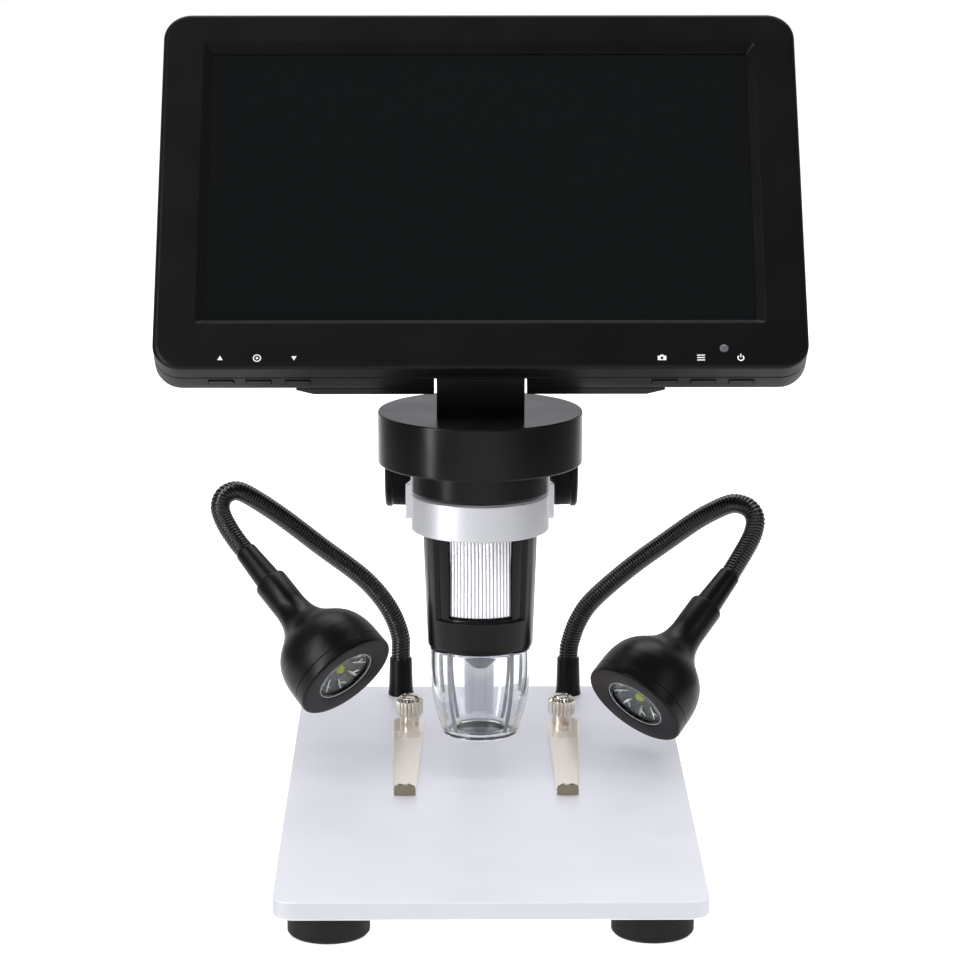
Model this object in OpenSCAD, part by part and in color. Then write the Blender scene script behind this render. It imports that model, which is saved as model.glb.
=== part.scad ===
// Desktop digital microscope: a camera head with a tilting screen on a rack-and-pinion stand,
// with two gooseneck lamps and two spring clips on a metal plate.
// The origin is on the table, under the camera head's centre line, at the plate's mid length.
// +Z is up and -Y is towards the person who looks at the screen.

/* [Stand] */
// Width of the plate
plate_w = 115; // [100:1:140]
// Length of the plate
plate_l = 212; // [195:1:240]
// Thickness of the plate
plate_t = 5; // [4:0.5:8]
// Corner radius of the plate
plate_r = 6; // [3:0.5:12]
// Distance of the plate's middle to the right of the head
plate_shift = 2; // [-3:0.5:4]
// Diameter of a rubber foot
foot_d = 22; // [16:1:28]
// Height of a rubber foot
foot_h = 8; // [6:0.5:12]
// Gap from a foot's edge to the plate's edge
foot_inset = 3.5; // [2:0.5:8]
// Side of the square post
post_side = 12; // [11:0.5:14]
// Height of the post above the plate
post_h = 159; // [150:1:180]
// Distance of the post's centre behind the origin
post_y = 80; // [76:1:84]

/* [Carriage] */
// Height of the clamp ring's middle above the table
ring_mid_z = 91.9; // [88:0.1:95]
// Outer radius of the clamp ring
ring_r = 19.8; // [19:0.1:21]
// Height of the clamp ring and its arm
ring_h = 10.3; // [9:0.1:12]
// Half width of the ears behind the ring
ear_half = 21.7; // [20.5:0.1:22.5]
// Diameter of a focus knob
knob_d = 24; // [20:0.5:26]
// Length of a focus knob
knob_len = 7.6; // [6:0.1:9]
// Width of the pinion
pinion_w = 5; // [4:0.5:5]

/* [Head] */
// Distance of the barrel's axis behind the origin
head_y = 10; // [8:0.5:12]
// Radius of the round housing
disc_r = 29.3; // [27:0.1:31]
// Height of the round housing
disc_h = 14.9; // [13:0.1:17]
// Radius of the neck under the housing
neck_r = 20; // [19.5:0.1:21]
// Height of the neck
neck_h = 9; // [8.5:0.1:10]
// Radius of the barrel just under the ring
barrel_top_r = 16.5; // [16:0.1:16.7]
// Radius of the barrel's lower end
barrel_low_r = 15.2; // [14.9:0.1:16]
// Height of the barrel below the ring
barrel_h = 34; // [30:0.5:36]
// Radius of the ribbed magnification wheel
wheel_r = 13.9; // [13.5:0.1:14]
// Height of the magnification wheel
wheel_h = 22; // [18:0.5:24]
// Half width of the windows that show the wheel
wheel_window = 8.7; // [7:0.1:10]
// Length of the clear cap
cap_h = 26; // [22:0.5:28]
// Radius of the clear cap's foot
cap_foot_r = 10.6; // [9.5:0.1:12]

/* [Screen] */
// Width of the screen's case
case_w = 183.7; // [178:0.1:200]
// Height of the screen's case
case_h = 116; // [112:0.5:125]
// Corner radius of the screen's case
case_r = 8; // [4:0.5:12]
// Thickness of the screen's case
case_t = 14.6; // [13.6:0.1:16]
// Extra thickness of the raised back
bulge_t = 2.6; // [2:0.1:4]
// Half width of the raised back
bulge_half = 52; // [46:1:60]
// Width of the border on each side of the picture window
side_frame = 14.1; // [13:0.1:18]
// Height of the border above the window
top_frame = 12.8; // [11:0.1:16]
// Height of the border below the window
chin_h = 15.7; // [14.5:0.1:18]
// Lean of the screen away from upright
screen_lean = 37.4; // [30:0.1:45]
// Half width of the hinge's notch
notch_half = 13.1; // [12.5:0.1:15]
// Width of a push button
button_w = 7; // [5:0.1:8]

/* [Lamps] */
// Radius of a lamp's gooseneck over its ribs
goose_r = 2.85; // [2.75:0.05:2.9]
// Spacing of the gooseneck's ribs
rib_pitch = 2.1; // [2:0.1:3]
// Largest radius of a lamp's head
lamp_r = 15.9; // [14.5:0.1:16]
// Radius of a lamp's lens
lamp_lens_r = 9.3; // [7:0.1:10]
// Diameter of the sleeve that holds the gooseneck
sleeve_d = 7.6; // [7.5:0.1:9]
// Height of the sleeve above the plate
sleeve_h = 12; // [10:0.5:14]

/* [Clips] */
// Length of a spring clip
clip_l = 87; // [76:1:90]
// Width of a spring clip at its screw
clip_w = 10; // [9:0.5:12]
// Width of a spring clip at its tip
clip_tip_w = 6.2; // [5:0.1:8]
// Thickness of a spring clip
clip_t = 0.6; // [0.5:0.1:0.8]
// Diameter of a thumbscrew's head
thumb_d = 8.1; // [7:0.1:9]
// Height of a thumbscrew's head
thumb_h = 7; // [5:0.5:9]

/* [Hidden] */
$fn = 64;
slip = 0.15;        // clearance of a sliding fit, on each side
run = 0.05;         // radial clearance of a turning fit
part_gap = 0.3;     // gap between neighbours that move past each other
seam = 0.1;         // gap between two halves of a housing
wall = 2;           // wall of a moulded housing

// stand
plate_z = foot_h;
plate_top = plate_z + plate_t;
foot_x = plate_w/2 - foot_inset - foot_d/2;
foot_y = plate_l/2 - foot_inset - foot_d/2;
foot_screw_r = 1.5;
foot_head_r = 3;
foot_pocket_r = 4;
foot_pocket_h = 4.5;
post_top = plate_top + post_h;
post_corner = 2;
rack_w = 6;
rack_depth = 3;              // depth of the rack's groove in the post
post_bolt_r = 2.5;
post_bolt_head_r = 4.5;

// rack and pinion
pinion_teeth = 16;
gear_module = 0.5;
pitch = PI*gear_module;
pinion_r = pinion_teeth*gear_module/2;
tooth = 0.8*gear_module;     // height of a tooth above the pitch line, and as much below it
rack_pitch_y = post_y - post_side/2 + 1;
shaft_y = rack_pitch_y - pinion_r;
shaft_r = 2.5;
rack_z0 = plate_top + 60;
rack_z1 = post_top - 4;
knob_x = 21.65;              // where a knob starts, on each side of the shaft's middle
knob_shift = 0.75;           // how far the shaft's middle lies to the right

// carriage
ring_z0 = ring_mid_z - ring_h/2;
ring_z1 = ring_mid_z + ring_h/2;
ring_bore = barrel_top_r + part_gap;
block_half = 17;
block_z0 = ring_mid_z - 11.5;
block_z1 = ring_mid_z + 13;
block_y0 = shaft_y - 8;
block_y1 = post_y + post_side/2 + 5;
bush_len = 4;
bush_r = 4;
pocket_r = pinion_r + 1;
drag_screw_r = 2;

// head
neck_z = ring_z1 + 0.4;
disc_z0 = neck_z + neck_h;
disc_z1 = disc_z0 + disc_h;
barrel_z0 = ring_z0 - barrel_h;
wheel_z1 = ring_z0 - 0.9;
wheel_z0 = wheel_z1 - wheel_h;
wheel_bore = 10.5;
spigot_r = barrel_low_r - 2.2;
spigot_h = 1.8;
cap_z1 = barrel_z0 - seam;
cap_z0 = cap_z1 - cap_h;
nose_l = 7;                 // cone round the lens, below its ring of lights
cap_wall = 1.2;
cap_top_r = spigot_r + run + cap_wall;
cell_r = 8;
cell_h = 16;
cell_z1 = wheel_z1 - 1;

// screen, in its own axes: X across, Y up the face from the window's lower edge, Z out of the face
screen_y = -6;
screen_z = disc_z1 + 29.6;
window_w = case_w - 2*side_frame;
window_h = case_h - chin_h - top_frame;
case_y0 = -chin_h;
case_y1 = case_h - chin_h;
seam_z = -6.5;
back_z = -case_t;
bulge_z = back_z - bulge_t;
bulge_y1 = 66;
face_t = 2.2;
glass_z = -1.7;
lcd_t = 3.2;
board_z = seam_z - 0.5;
board_t = 1.6;
board_edge = 11.85;         // border between the case's side and the board
panel_edge = 4;             // frame of the display round its picture
screw_side = 9;             // from a case's side to its screws
screw_low = 24;             // from the case's lower edge to the lower screws
screw_high = 8;             // from the case's upper edge to the upper screws
cell_y = 14;                // lower end of the battery above the window's
button_h = 2.4;
button_z = -9.2;
button_proud = 0.3;
button_press = 0.25;
button_edge = [19.05, 29.55, 40.55];          // buttons of the left row, from the case's edge
button_edge_right = [40.2, 29.4, 18.7];       // and of the right row
button_xs = concat([for (d = button_edge) d - case_w/2], [for (d = button_edge_right) case_w/2 - d]);
ir_x = case_w/2 - 23.95;
ir_y = -9.9;
hinge_y = -10.25;            // hinge axis on the screen's own axes
hinge_z = -11.6;
knuckle_r = 4.6;
pin_r = 1.5;
ear_len = 6;
foot_plate_t = 2;
case_mid = (case_y0 + case_y1)/2;
hinge_world_y = screen_y + hinge_y*sin(screen_lean) - hinge_z*cos(screen_lean);
hinge_world_z = screen_z + hinge_y*cos(screen_lean) + hinge_z*sin(screen_lean);
bracket_half = notch_half - 0.7;
bracket_y0 = hinge_world_y + 0.4;
bracket_y1 = hinge_world_y + 8;

// lamps
sleeve_edge = 31.1;          // from the plate's side edge to a sleeve's centre
sleeve_back = 9.6;           // from the plate's back edge
sleeve_x = plate_w/2 - sleeve_edge;
sleeve_y = plate_l/2 - sleeve_back;
sleeve_bore = 1.9;
neck_bore = goose_r + 0.25;
bore_r = 1.3;
ball_r = 2;
bead_gap = 1.25;             // from a bead's centre to the tube on either side of it
// points of a gooseneck's centre line and of its lamp's face, from where the sleeve meets the plate
left_bends = [[0, 0, -3], [0, 0, 12.2], [-0.3, -0.2, 19.7], [-3.9, -1.2, 28.7], [-11.3, -3.4, 38.4],
    [-24.2, -8.1, 49.7], [-35.7, -13.7, 60.2], [-43.9, -18.1, 67], [-48.7, -20.6, 70.2], [-51.6, -22.2, 70.4],
    [-53.7, -23.7, 69], [-54.5, -25.2, 66.2], [-53.5, -26.9, 63.1], [-51.3, -29.3, 59.7],
    [-48.5, -31.8, 56.3], [-46.5, -33.4, 54.4]];
left_aim = [-15.5, -62.3, 23];
right_bends = [[0, 0, -3], [0, 0, 12.2], [0.8, -0.2, 17.8], [3.3, -0.9, 24.7], [7.9, -2.3, 31.6],
    [18.9, -6.5, 42.6], [30.3, -12.2, 52.7], [38.6, -17.1, 60], [44.4, -20.6, 64.2], [49.1, -23.2, 66.7],
    [52.8, -25.1, 66.5], [55.1, -26.9, 64.9], [55.9, -28.6, 62.2], [54.9, -30.7, 58.5], [52.6, -33.4, 54.8],
    [50, -36.1, 51.2], [47.6, -38.4, 48]];
right_aim = [17.9, -67.2, 15.8];
left_foot = [plate_shift - sleeve_x, sleeve_y, plate_top];
right_foot = [plate_shift + sleeve_x, sleeve_y, plate_top];
left_route = [for (p = left_bends) left_foot + p];
right_route = [for (p = right_bends) right_foot + p];
left_face = left_foot + left_aim;
right_face = right_foot + right_aim;
neck_from = 7.3;             // where the tube starts, along its centre line
knee_at = 38;                // where its lower bead lies
wrist_back = 9;              // from its upper bead to its end
goose_sides = 8;
connector_r = 3.35;
connector_l = 13.1;
collar_r = 5.15;
collar_l = 11;
bell_l = 24.6;
// the bell's outside: distance past the collar, and share of the lamp's radius
bell = [[2, 0.337], [4, 0.362], [6, 0.413], [8, 0.496], [10, 0.619], [12, 0.757], [14, 0.857], [16, 0.918],
    [19, 0.972], [bell_l, 1]];
face_at = connector_l + collar_l + bell_l + 3.7;

// clips
clip_edge = 34.3;            // from the plate's side edge to a clip's screw
clip_back = 47;              // from the plate's back edge
clip_x = plate_w/2 - clip_edge;
clip_y = plate_l/2 - clip_back;
clip_z = plate_top + 0.3;
clip_tail = 8;
thumb_collar_r = 2.7;
thumb_collar_h = 3;
thumb_shank_r = 1.5;

// ---- shared shapes ----

module rounded_rect(w, l, r) {
    square([w - 2*r, l], center = true);
    square([w, l - 2*r], center = true);
    for (x = [-1, 1], y = [-1, 1]) translate([x*(w/2 - r), y*(l/2 - r)]) circle(r);
}

module at_feet() {
    for (x = [-1, 1], y = [-1, 1]) translate([plate_shift + x*foot_x, y*foot_y, 0]) children();
}

// puts children on the screen's own axes
module on_screen() {
    translate([0, screen_y, screen_z]) rotate([90 - screen_lean, 0, 0]) children();
}

// a case's outline with its edges rounded by r at the front (z1) and e at the back (z0)
module soft_block(w, h, r, z0, z1, r0, r1) {
    hull() for (x = [-1, 1], y = [-1, 1]) translate([x*(w/2 - r), y*(h/2 - r), 0])
        rotate_extrude($fn = 32) polygon(concat(
            [[0, z0]], [for (a = [0:30:90]) [r - r0 + r0*sin(a), z0 + r0 - r0*cos(a)]],
            [for (a = [0:30:90]) [r - r1 + r1*cos(a), z1 - r1 + r1*sin(a)]], [[0, z1]]));
}

// ---- stand ----

module base_plate() {
    color("gainsboro") difference() {
        translate([plate_shift, 0, plate_z]) linear_extrude(plate_t) rounded_rect(plate_w, plate_l,
            plate_r);
        at_feet() translate([0, 0, plate_z - 1]) cylinder(r = foot_screw_r + run, h = 4.5);
        translate([0, post_y, plate_z - 1]) cylinder(r = post_bolt_r + slip, h = plate_t + 2);
        translate([0, post_y, plate_z - 1]) cylinder(r = post_bolt_head_r + slip, h = 3);
        for (s = [-1, 1]) {
            translate([plate_shift + s*clip_x, clip_y, plate_z - 1]) cylinder(r = thumb_shank_r + run,
                h = plate_t + 2);
            translate([plate_shift + s*sleeve_x, sleeve_y, plate_z - 1]) cylinder(r = 3 + run,
                h = plate_t + 2);
            translate([plate_shift + s*sleeve_x, sleeve_y, plate_z - 1]) cylinder(r = 5.4, h = 3);
        }
    }
}

module rubber_feet() {
    color("#222222") at_feet() rotate_extrude() difference() {
        polygon([[0, 0], [foot_d/2 - 1, 0], [foot_d/2, 1], [foot_d/2, foot_h - 0.5], [foot_d/2 - 0.5,
            foot_h], [0, foot_h]]);
        translate([0, -1]) square([foot_pocket_r, foot_pocket_h + 1]);
        translate([0, -1]) square([foot_screw_r + slip, foot_h + 2]);
    }
}

module foot_screws() {
    color("silver") at_feet() translate([0, 0, foot_pocket_h]) rotate_extrude()
        polygon([[0.6, -1.8], [foot_head_r - 0.6, -1.8], [foot_head_r, -1.2], [foot_head_r, 0],
            [foot_screw_r, 0],
                 [foot_screw_r, foot_h - foot_pocket_h + 3.2], [0, foot_h - foot_pocket_h + 3.2], [0,
                 -1], [0.6, -1]]);
}

module post() {
    color("gainsboro") difference() {
        translate([0, post_y, plate_top]) linear_extrude(post_h) difference() {
            rounded_rect(post_side, post_side, post_corner);
            translate([-rack_w/2, -post_side/2 - 1]) square([rack_w, rack_depth + 1]);
        }
        translate([0, post_y, plate_top - 1]) cylinder(r = post_bolt_r + run, h = 13);
        translate([0, post_y, post_top - 6]) cylinder(r = 2 + run, h = 7);
    }
}

// teeth of the rack face -Y; a gap of the rack lies level with the pinion's axis
module rack() {
    back_y = post_y - post_side/2 + rack_depth;
    first = ceil((rack_z0 - ring_mid_z)/pitch + 0.5);
    last = floor((rack_z1 - ring_mid_z)/pitch - 0.5);
    root_y = rack_pitch_y + tooth;
    tip_y = rack_pitch_y - tooth;
    color("silver") translate([-rack_w/2 + slip, 0, 0]) rotate([90, 0, 90]) linear_extrude(rack_w - 2*slip)
        polygon(concat([[back_y, rack_z0], [root_y, rack_z0]],
            [for (i = [first:last]) let (z = ring_mid_z + (i + 0.5)*pitch)
                each [[root_y, z - 0.3*pitch], [tip_y, z - 0.12*pitch], [tip_y, z + 0.12*pitch], [root_y,
                    z + 0.3*pitch]]],
            [[root_y, rack_z1], [back_y, rack_z1]]));
}

module post_bolt() {
    color("silver") translate([0, post_y, plate_z]) rotate_extrude()
        polygon([[1.5, 0.2], [post_bolt_head_r, 0.2], [post_bolt_head_r, 2], [post_bolt_r, 2],
                 [post_bolt_r, plate_t + 11], [0, plate_t + 11], [0, 1.5], [1.5, 1.5]]);
}

module post_cap() {
    color("#222222") translate([0, post_y, post_top]) {
        linear_extrude(2) rounded_rect(post_side, post_side, post_corner);
        translate([0, 0, -5]) cylinder(r = 2, h = 6);
    }
}

// ---- carriage ----

module carriage_bracket() {
    ear_y = head_y + 12.5;
    color("silver") difference() {
        union() {
            translate([0, head_y, ring_z0]) cylinder(r = ring_r, h = ring_h, $fn = 96);
            translate([0, 0, ring_z0]) linear_extrude(ring_h)
                polygon([[-ear_half, ear_y], [ear_half, ear_y], [block_half, ear_y + 18], [block_half,
                    block_y0 + 1],
                         [-block_half, block_y0 + 1], [-block_half, ear_y + 18]]);
            translate([-block_half, block_y0, block_z0]) cube([2*block_half, block_y1 - block_y0,
                block_z1 - block_z0]);
        }
        translate([0, head_y, ring_z0 - 1]) cylinder(r = ring_bore, h = ring_h + 2, $fn = 96);
        // the post's slideway
        translate([0, post_y, block_z0 - 1]) linear_extrude(block_z1 - block_z0 + 2)
            rounded_rect(post_side + 2*slip, post_side + 2*slip, post_corner);
        // the pinion's pocket, its bushes and shaft
        translate([-pinion_w/2 - 1, shaft_y, ring_mid_z]) rotate([0, 90, 0]) cylinder(r = pocket_r,
            h = pinion_w + 2);
        for (x = [-block_half - 1, block_half - bush_len])
            translate([x, shaft_y, ring_mid_z]) rotate([0, 90, 0]) cylinder(r = bush_r, h = bush_len + 1);
        translate([-block_half - 1, shaft_y, ring_mid_z]) rotate([0, 90, 0])
            cylinder(r = shaft_r + 0.2, h = 2*block_half + 2);
        // drag screw and its pad, from behind
        translate([0, post_y, ring_mid_z]) rotate([-90, 0, 0]) cylinder(r = drag_screw_r + run, h = 30);
    }
}

module drag_screw() {
    color("#222222") translate([0, block_y1 + 0.4, ring_mid_z]) rotate([-90, 0, 0]) {
        difference() {
            cylinder(r = 5, h = 6);
            for (a = [0:30:330]) rotate(a) translate([5.2, 0, -1]) cylinder(r = 0.6, h = 8);
        }
        translate([0, 0, post_side/2 + slip + 1.2 + post_y - block_y1 - 0.4])
            cylinder(r = drag_screw_r, h = block_y1 + 0.4 - post_y - post_side/2 - slip - 1.2);
    }
}

module drag_pad() {
    color("white") translate([0, post_y + post_side/2 + slip/2, ring_mid_z]) rotate([-90, 0, 0])
        cylinder(r = drag_screw_r - run, h = 1.1);
}

module shaft_bushes() {
    color("goldenrod") for (x = [-block_half + run, block_half - bush_len])
        translate([x, shaft_y, ring_mid_z]) rotate([0, 90, 0]) difference() {
            cylinder(r = bush_r - 0.02, h = bush_len - run);
            translate([0, 0, -1]) cylinder(r = shaft_r + run, h = bush_len + 2);
        }
}

// one tooth of the pinion points at the rack's gap
module pinion_shaft() {
    step = 360/pinion_teeth;
    color("silver") translate([0, shaft_y, ring_mid_z]) {
        translate([knob_shift - knob_x - 4, 0, 0]) rotate([0, 90, 0]) cylinder(r = shaft_r,
            h = 2*knob_x + 8);
        translate([-pinion_w/2, 0, 0]) rotate([90, 0, 90]) linear_extrude(pinion_w)
            polygon([for (i = [0:pinion_teeth - 1], k = [[-0.3, -tooth], [-0.1, tooth], [0.1, tooth],
                [0.3, -tooth]])
                let (a = (i + k[0])*step, r = pinion_r + k[1]) [r*cos(a), r*sin(a)]]);
    }
}

module focus_knob(side) {
    ribs = 48;
    rim = knob_d/2;
    grip_r = rim - 0.5;
    grip_l = 0.68*knob_len;
    color("#1c1c1e") translate([knob_shift + side*knob_x, shaft_y, ring_mid_z]) rotate([0, side*90, 0])
        difference() {
        union() {
            rotate_extrude() polygon([[0, -3.6], [5, -3.6], [5, 0], [grip_r - 0.5, 0], [grip_r, 0.5],
                [grip_r, grip_l], [rim, grip_l + 0.3], [rim, knob_len - 1], [rim - 0.8, knob_len - 0.2],
                [rim - 3, knob_len], [0, knob_len]]);
            linear_extrude(grip_l + 0.1) for (i = [0:ribs - 1]) rotate(i*360/ribs)
                translate([grip_r - 0.1, 0]) square([0.7, 0.7], center = true);
        }
        translate([0, 0, -6]) cylinder(r = shaft_r + 0.02, h = 10.1);
    }
}

module focus_knob_left() { focus_knob(-1); }
module focus_knob_right() { focus_knob(1); }

// ---- camera head ----

// half a housing of revolution about the head's axis, in front of the seam or behind it
module head_half(side) {
    a = side < 0 ? 180 : 0;
    translate([0, head_y + side*seam/2, 0]) rotate(a) rotate_extrude(angle = 180, $fn = 96) polygon([
        [0, disc_z1], [disc_r - 0.5, disc_z1], [disc_r, disc_z1 - 0.5], [disc_r, disc_z0 + 0.5],
        [disc_r - 0.5, disc_z0], [neck_r, disc_z0], [neck_r, neck_z + 1.2], [neck_r - 1.2, neck_z],
        [barrel_top_r, neck_z], [barrel_top_r, ring_z0 + 2], [wheel_bore, ring_z0 + 2],
        [wheel_bore, ring_z0 + 4], [barrel_top_r - wall, ring_z0 + 4], [barrel_top_r - wall,
        disc_z0 + wall],
        [disc_r - wall, disc_z0 + wall], [disc_r - wall, disc_z1 - wall], [0, disc_z1 - wall]]);
}

module head_front_shell() { color("#232326") head_half(-1); }
module head_rear_shell() { color("#232326") head_half(1); }

module sensor_board() {
    color("darkgreen") translate([0, head_y, 0]) {
        translate([0, 0, disc_z0 + 4]) cylinder(r = disc_r - wall - 0.4, h = 1.6);
        translate([-5, -5, disc_z0 + 2.6]) cube([10, 10, 1.5]);
        for (a = [45:90:315]) rotate(a) translate([disc_r - wall - 4, 0, disc_z0 + wall + 0.02])
            cylinder(r = 1.6, h = 4 - wall - 0.04);
    }
}

module barrel_shell() {
    bore = wheel_r + 0.6;
    color("#1c1c1e") difference() {
        translate([0, head_y, 0]) rotate_extrude($fn = 96) polygon([
            [barrel_low_r - 0.6, barrel_z0], [barrel_low_r, barrel_z0 + 0.6], [barrel_top_r, ring_z0 - 0.4],
            [barrel_top_r, ring_z0 + 1.9], [bore, ring_z0 + 1.9], [bore, wheel_z0 - part_gap],
            [cell_r + 0.4, wheel_z0 - part_gap],
            [cell_r + 0.4, barrel_z0 + 1], [spigot_r - 1.2, barrel_z0 + 1], [spigot_r - 1.2,
            barrel_z0 - spigot_h],
            [spigot_r, barrel_z0 - spigot_h], [spigot_r, barrel_z0]]);
        for (s = [-1, 1]) translate([-wheel_window, s < 0 ? head_y - 20 : head_y, wheel_z0 - 0.4])
            cube([2*wheel_window, 20, wheel_h + 1]);
    }
}

module magnification_wheel() {
    ribs = 60;
    color("whitesmoke") translate([0, head_y, wheel_z0]) linear_extrude(wheel_h) difference() {
        polygon([for (i = [0:ribs - 1], k = [[-0.36, 0], [-0.2, 0.55], [0.2, 0.55], [0.36, 0]])
            let (a = (i + k[0])*360/ribs, r = wheel_r - 0.55 + k[1]) [r*cos(a), r*sin(a)]]);
        circle(wheel_bore);
    }
}

module lens_cell() {
    color("#2a2a2d") translate([0, head_y, 0]) rotate_extrude() polygon([
        [cell_r, cell_z1 - cell_h], [cell_r, cell_z1 - 3], [wheel_bore - part_gap, cell_z1 - 3],
        [wheel_bore - part_gap, cell_z1 - 1], [cell_r - 1.4, cell_z1 - 1], [cell_r - 1.4,
        cell_z1 - cell_h + 3],
        [4, cell_z1 - cell_h + 3], [4, cell_z1 - cell_h]]);
}

module objective_lens() {
    r = 4 - 0.02;
    z = cell_z1 - cell_h + 1.5;
    color("lightblue") translate([0, head_y, z]) rotate_extrude()
        polygon(concat([[0, -1.8]], [for (a = [10:10:40]) [r*a/40, -1.8 + 1.1*pow(a/40, 2)]],
            [for (a = [40:-10:10]) [r*a/40, 1.8 - 1.1*pow(a/40, 2)]], [[0, 1.8]]));
}

module led_ring() {
    z = barrel_z0 - spigot_h + 1.4;
    color("white") translate([0, head_y, z]) {
        difference() {
            cylinder(r = spigot_r - 1.3, h = 1.2);
            translate([0, 0, -1]) cylinder(r = 6.4, h = 4);
        }
        for (i = [0:7]) rotate(i*45) translate([8.9, 0, -0.9]) linear_extrude(0.9) square([2.8, 2],
            center = true);
        // the grey nose that shields the lens from the lights
        rotate_extrude() polygon([[6.25, 1.2], [6.4, 1.2], [6.4, 0], [3.4, -nose_l], [2.6, -nose_l],
            [2.6, 1 - nose_l], [5.4, 0.4], [5.4, 1.2]]);
    }
}

module clear_cap() {
    slots = 12;
    foot = cap_z0 + 2.2;
    color("azure") difference() {
        translate([0, head_y, 0]) rotate_extrude($fn = 72) polygon([
            [cap_top_r, cap_z1], [cap_top_r, cap_z0 + 0.78*cap_h],
            [cap_top_r - 0.14*(cap_top_r - cap_foot_r), cap_z0 + 0.6*cap_h],
            [cap_top_r - 0.5*(cap_top_r - cap_foot_r), cap_z0 + 0.34*cap_h],
            [cap_foot_r + 0.2, cap_z0 + 0.12*cap_h],
            [cap_foot_r, cap_z0], [cap_foot_r - cap_wall, cap_z0],
            [cap_foot_r - cap_wall, cap_z0 + 0.12*cap_h],
            [cap_top_r - cap_wall - 0.5*(cap_top_r - cap_foot_r), cap_z0 + 0.34*cap_h],
            [cap_top_r - cap_wall - 0.14*(cap_top_r - cap_foot_r), cap_z0 + 0.6*cap_h],
            [cap_top_r - cap_wall, cap_z0 + 0.78*cap_h], [cap_top_r - cap_wall, cap_z1]]);
        for (i = [0:slots/2 - 1]) translate([0, head_y, cap_z0]) rotate(i*360/slots)
            translate([-20, -1, -1]) cube([40, 2, foot - cap_z0]);
    }
}

// ---- hinge ----

module hinge_bracket() {
    color("#1c1c1e") difference() {
        union() {
            translate([-bracket_half, 0, 0]) rotate([90, 0, 90]) linear_extrude(2*bracket_half) {
                translate([hinge_world_y, hinge_world_z]) circle(knuckle_r);
                polygon([[hinge_world_y - knuckle_r + 0.05, hinge_world_z - 0.6], [bracket_y0,
                    disc_z1 + 0.05],
                         [bracket_y1, disc_z1 + 0.05], [hinge_world_y + knuckle_r - 0.4,
                         hinge_world_z + 1.8]]);
            }
            translate([-bracket_half, bracket_y0, disc_z1 + 0.05])
                cube([2*bracket_half, head_y + 5 - bracket_y0, foot_plate_t]);
        }
        translate([-30, hinge_world_y, hinge_world_z]) rotate([0, 90, 0]) cylinder(r = pin_r + 0.02,
            h = 60);
        for (s = [-1, 1]) translate([s*7, head_y + 1.5, disc_z1 - 1]) cylinder(r = 1.2, h = 5);
    }
}

module hinge_pin() {
    color("silver") translate([-notch_half - ear_len, hinge_world_y, hinge_world_z]) rotate([0, 90, 0])
        cylinder(r = pin_r, h = 2*(notch_half + ear_len));
}

// ---- screen ----

module case_outline(inset) {
    translate([0, case_mid]) rounded_rect(case_w - 2*inset, case_h - 2*inset, case_r - inset);
}

module screen_front() {
    bevel = 2.2;
    color("#1b1b1d") on_screen() difference() {
        translate([0, case_mid, 0]) soft_block(case_w, case_h, case_r, seam_z, 0, 0.3, 1.6);
        translate([0, 0, seam_z - 1]) linear_extrude(-seam_z + 1 - face_t) case_outline(wall);
        // the picture window and its sloping edge
        translate([-window_w/2, 0, -5]) cube([window_w, window_h, 10]);
        hull() {
            translate([-window_w/2, 0, -face_t + 0.4]) cube([window_w, window_h, 0.1]);
            translate([-window_w/2 - bevel, -bevel + 0.6, 0]) cube([window_w + 2*bevel,
                window_h + 2*bevel + 0.4, 0.1]);
        }
        translate([ir_x, ir_y, -5]) cylinder(r = 1.75, h = 10, $fn = 24);
    }
}

module screen_back() {
    color("#1b1b1d") on_screen() difference() {
        union() {
            difference() {
                union() {
                    translate([0, case_mid, 0]) soft_block(case_w, case_h, case_r, back_z, seam_z - seam,
                        2.4, 0.3);
                    hull() {
                        translate([-bulge_half, case_y0 + 0.2, back_z]) cube([2*bulge_half,
                            bulge_y1 - case_y0, 1]);
                        translate([-bulge_half + 5, case_y0 + 0.2, bulge_z]) cube([2*bulge_half - 10,
                            bulge_y1 - case_y0 - 5, 1]);
                    }
                }
                translate([0, 0, back_z + wall]) linear_extrude(case_t) case_outline(wall);
                translate([-bulge_half + 7, case_y0 + wall, bulge_z + wall])
                    cube([2*bulge_half - 14, bulge_y1 - case_y0 - 9, 10]);
            }
            // walls of the hinge's notch, and its two ears
            translate([-notch_half - ear_len, case_y0 + 0.5, bulge_z + 0.5])
                cube([2*(notch_half + ear_len), hinge_y + knuckle_r + 3.6 - case_y0,
                    seam_z - bulge_z - 1.2]);
        }
        translate([-notch_half, case_y0 - 1, bulge_z - 5])
            cube([2*notch_half, hinge_y + knuckle_r + 2.1 - case_y0, seam_z - bulge_z + 4.4]);
        translate([-notch_half - ear_len - 0.5, hinge_y, hinge_z]) rotate([0, 90, 0])
            cylinder(r = pin_r + run, h = 2*(notch_half + ear_len) + 1);
        for (x = button_xs) translate([x - button_w/2 - 0.2, case_y0 - 1, button_z - button_h/2 - 0.2])
            cube([button_w + 0.4, wall + 2, button_h + 0.4]);
        for (x = [-1, 1], y = [case_y0 + screw_low, case_y1 - screw_high])
            translate([x*(case_w/2 - screw_side), y, back_z - 1]) {
            cylinder(r = 1.1, h = 6, $fn = 24);
            cylinder(r = 2.4, h = 2.2, $fn = 24);
        }
    }
}

module lcd_panel() {
    color("#050608") on_screen() translate([-window_w/2 - panel_edge, -panel_edge,
        -face_t - part_gap/3 - lcd_t])
        cube([window_w + 2*panel_edge, window_h + 2*panel_edge - 0.5, lcd_t]);
}

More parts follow.
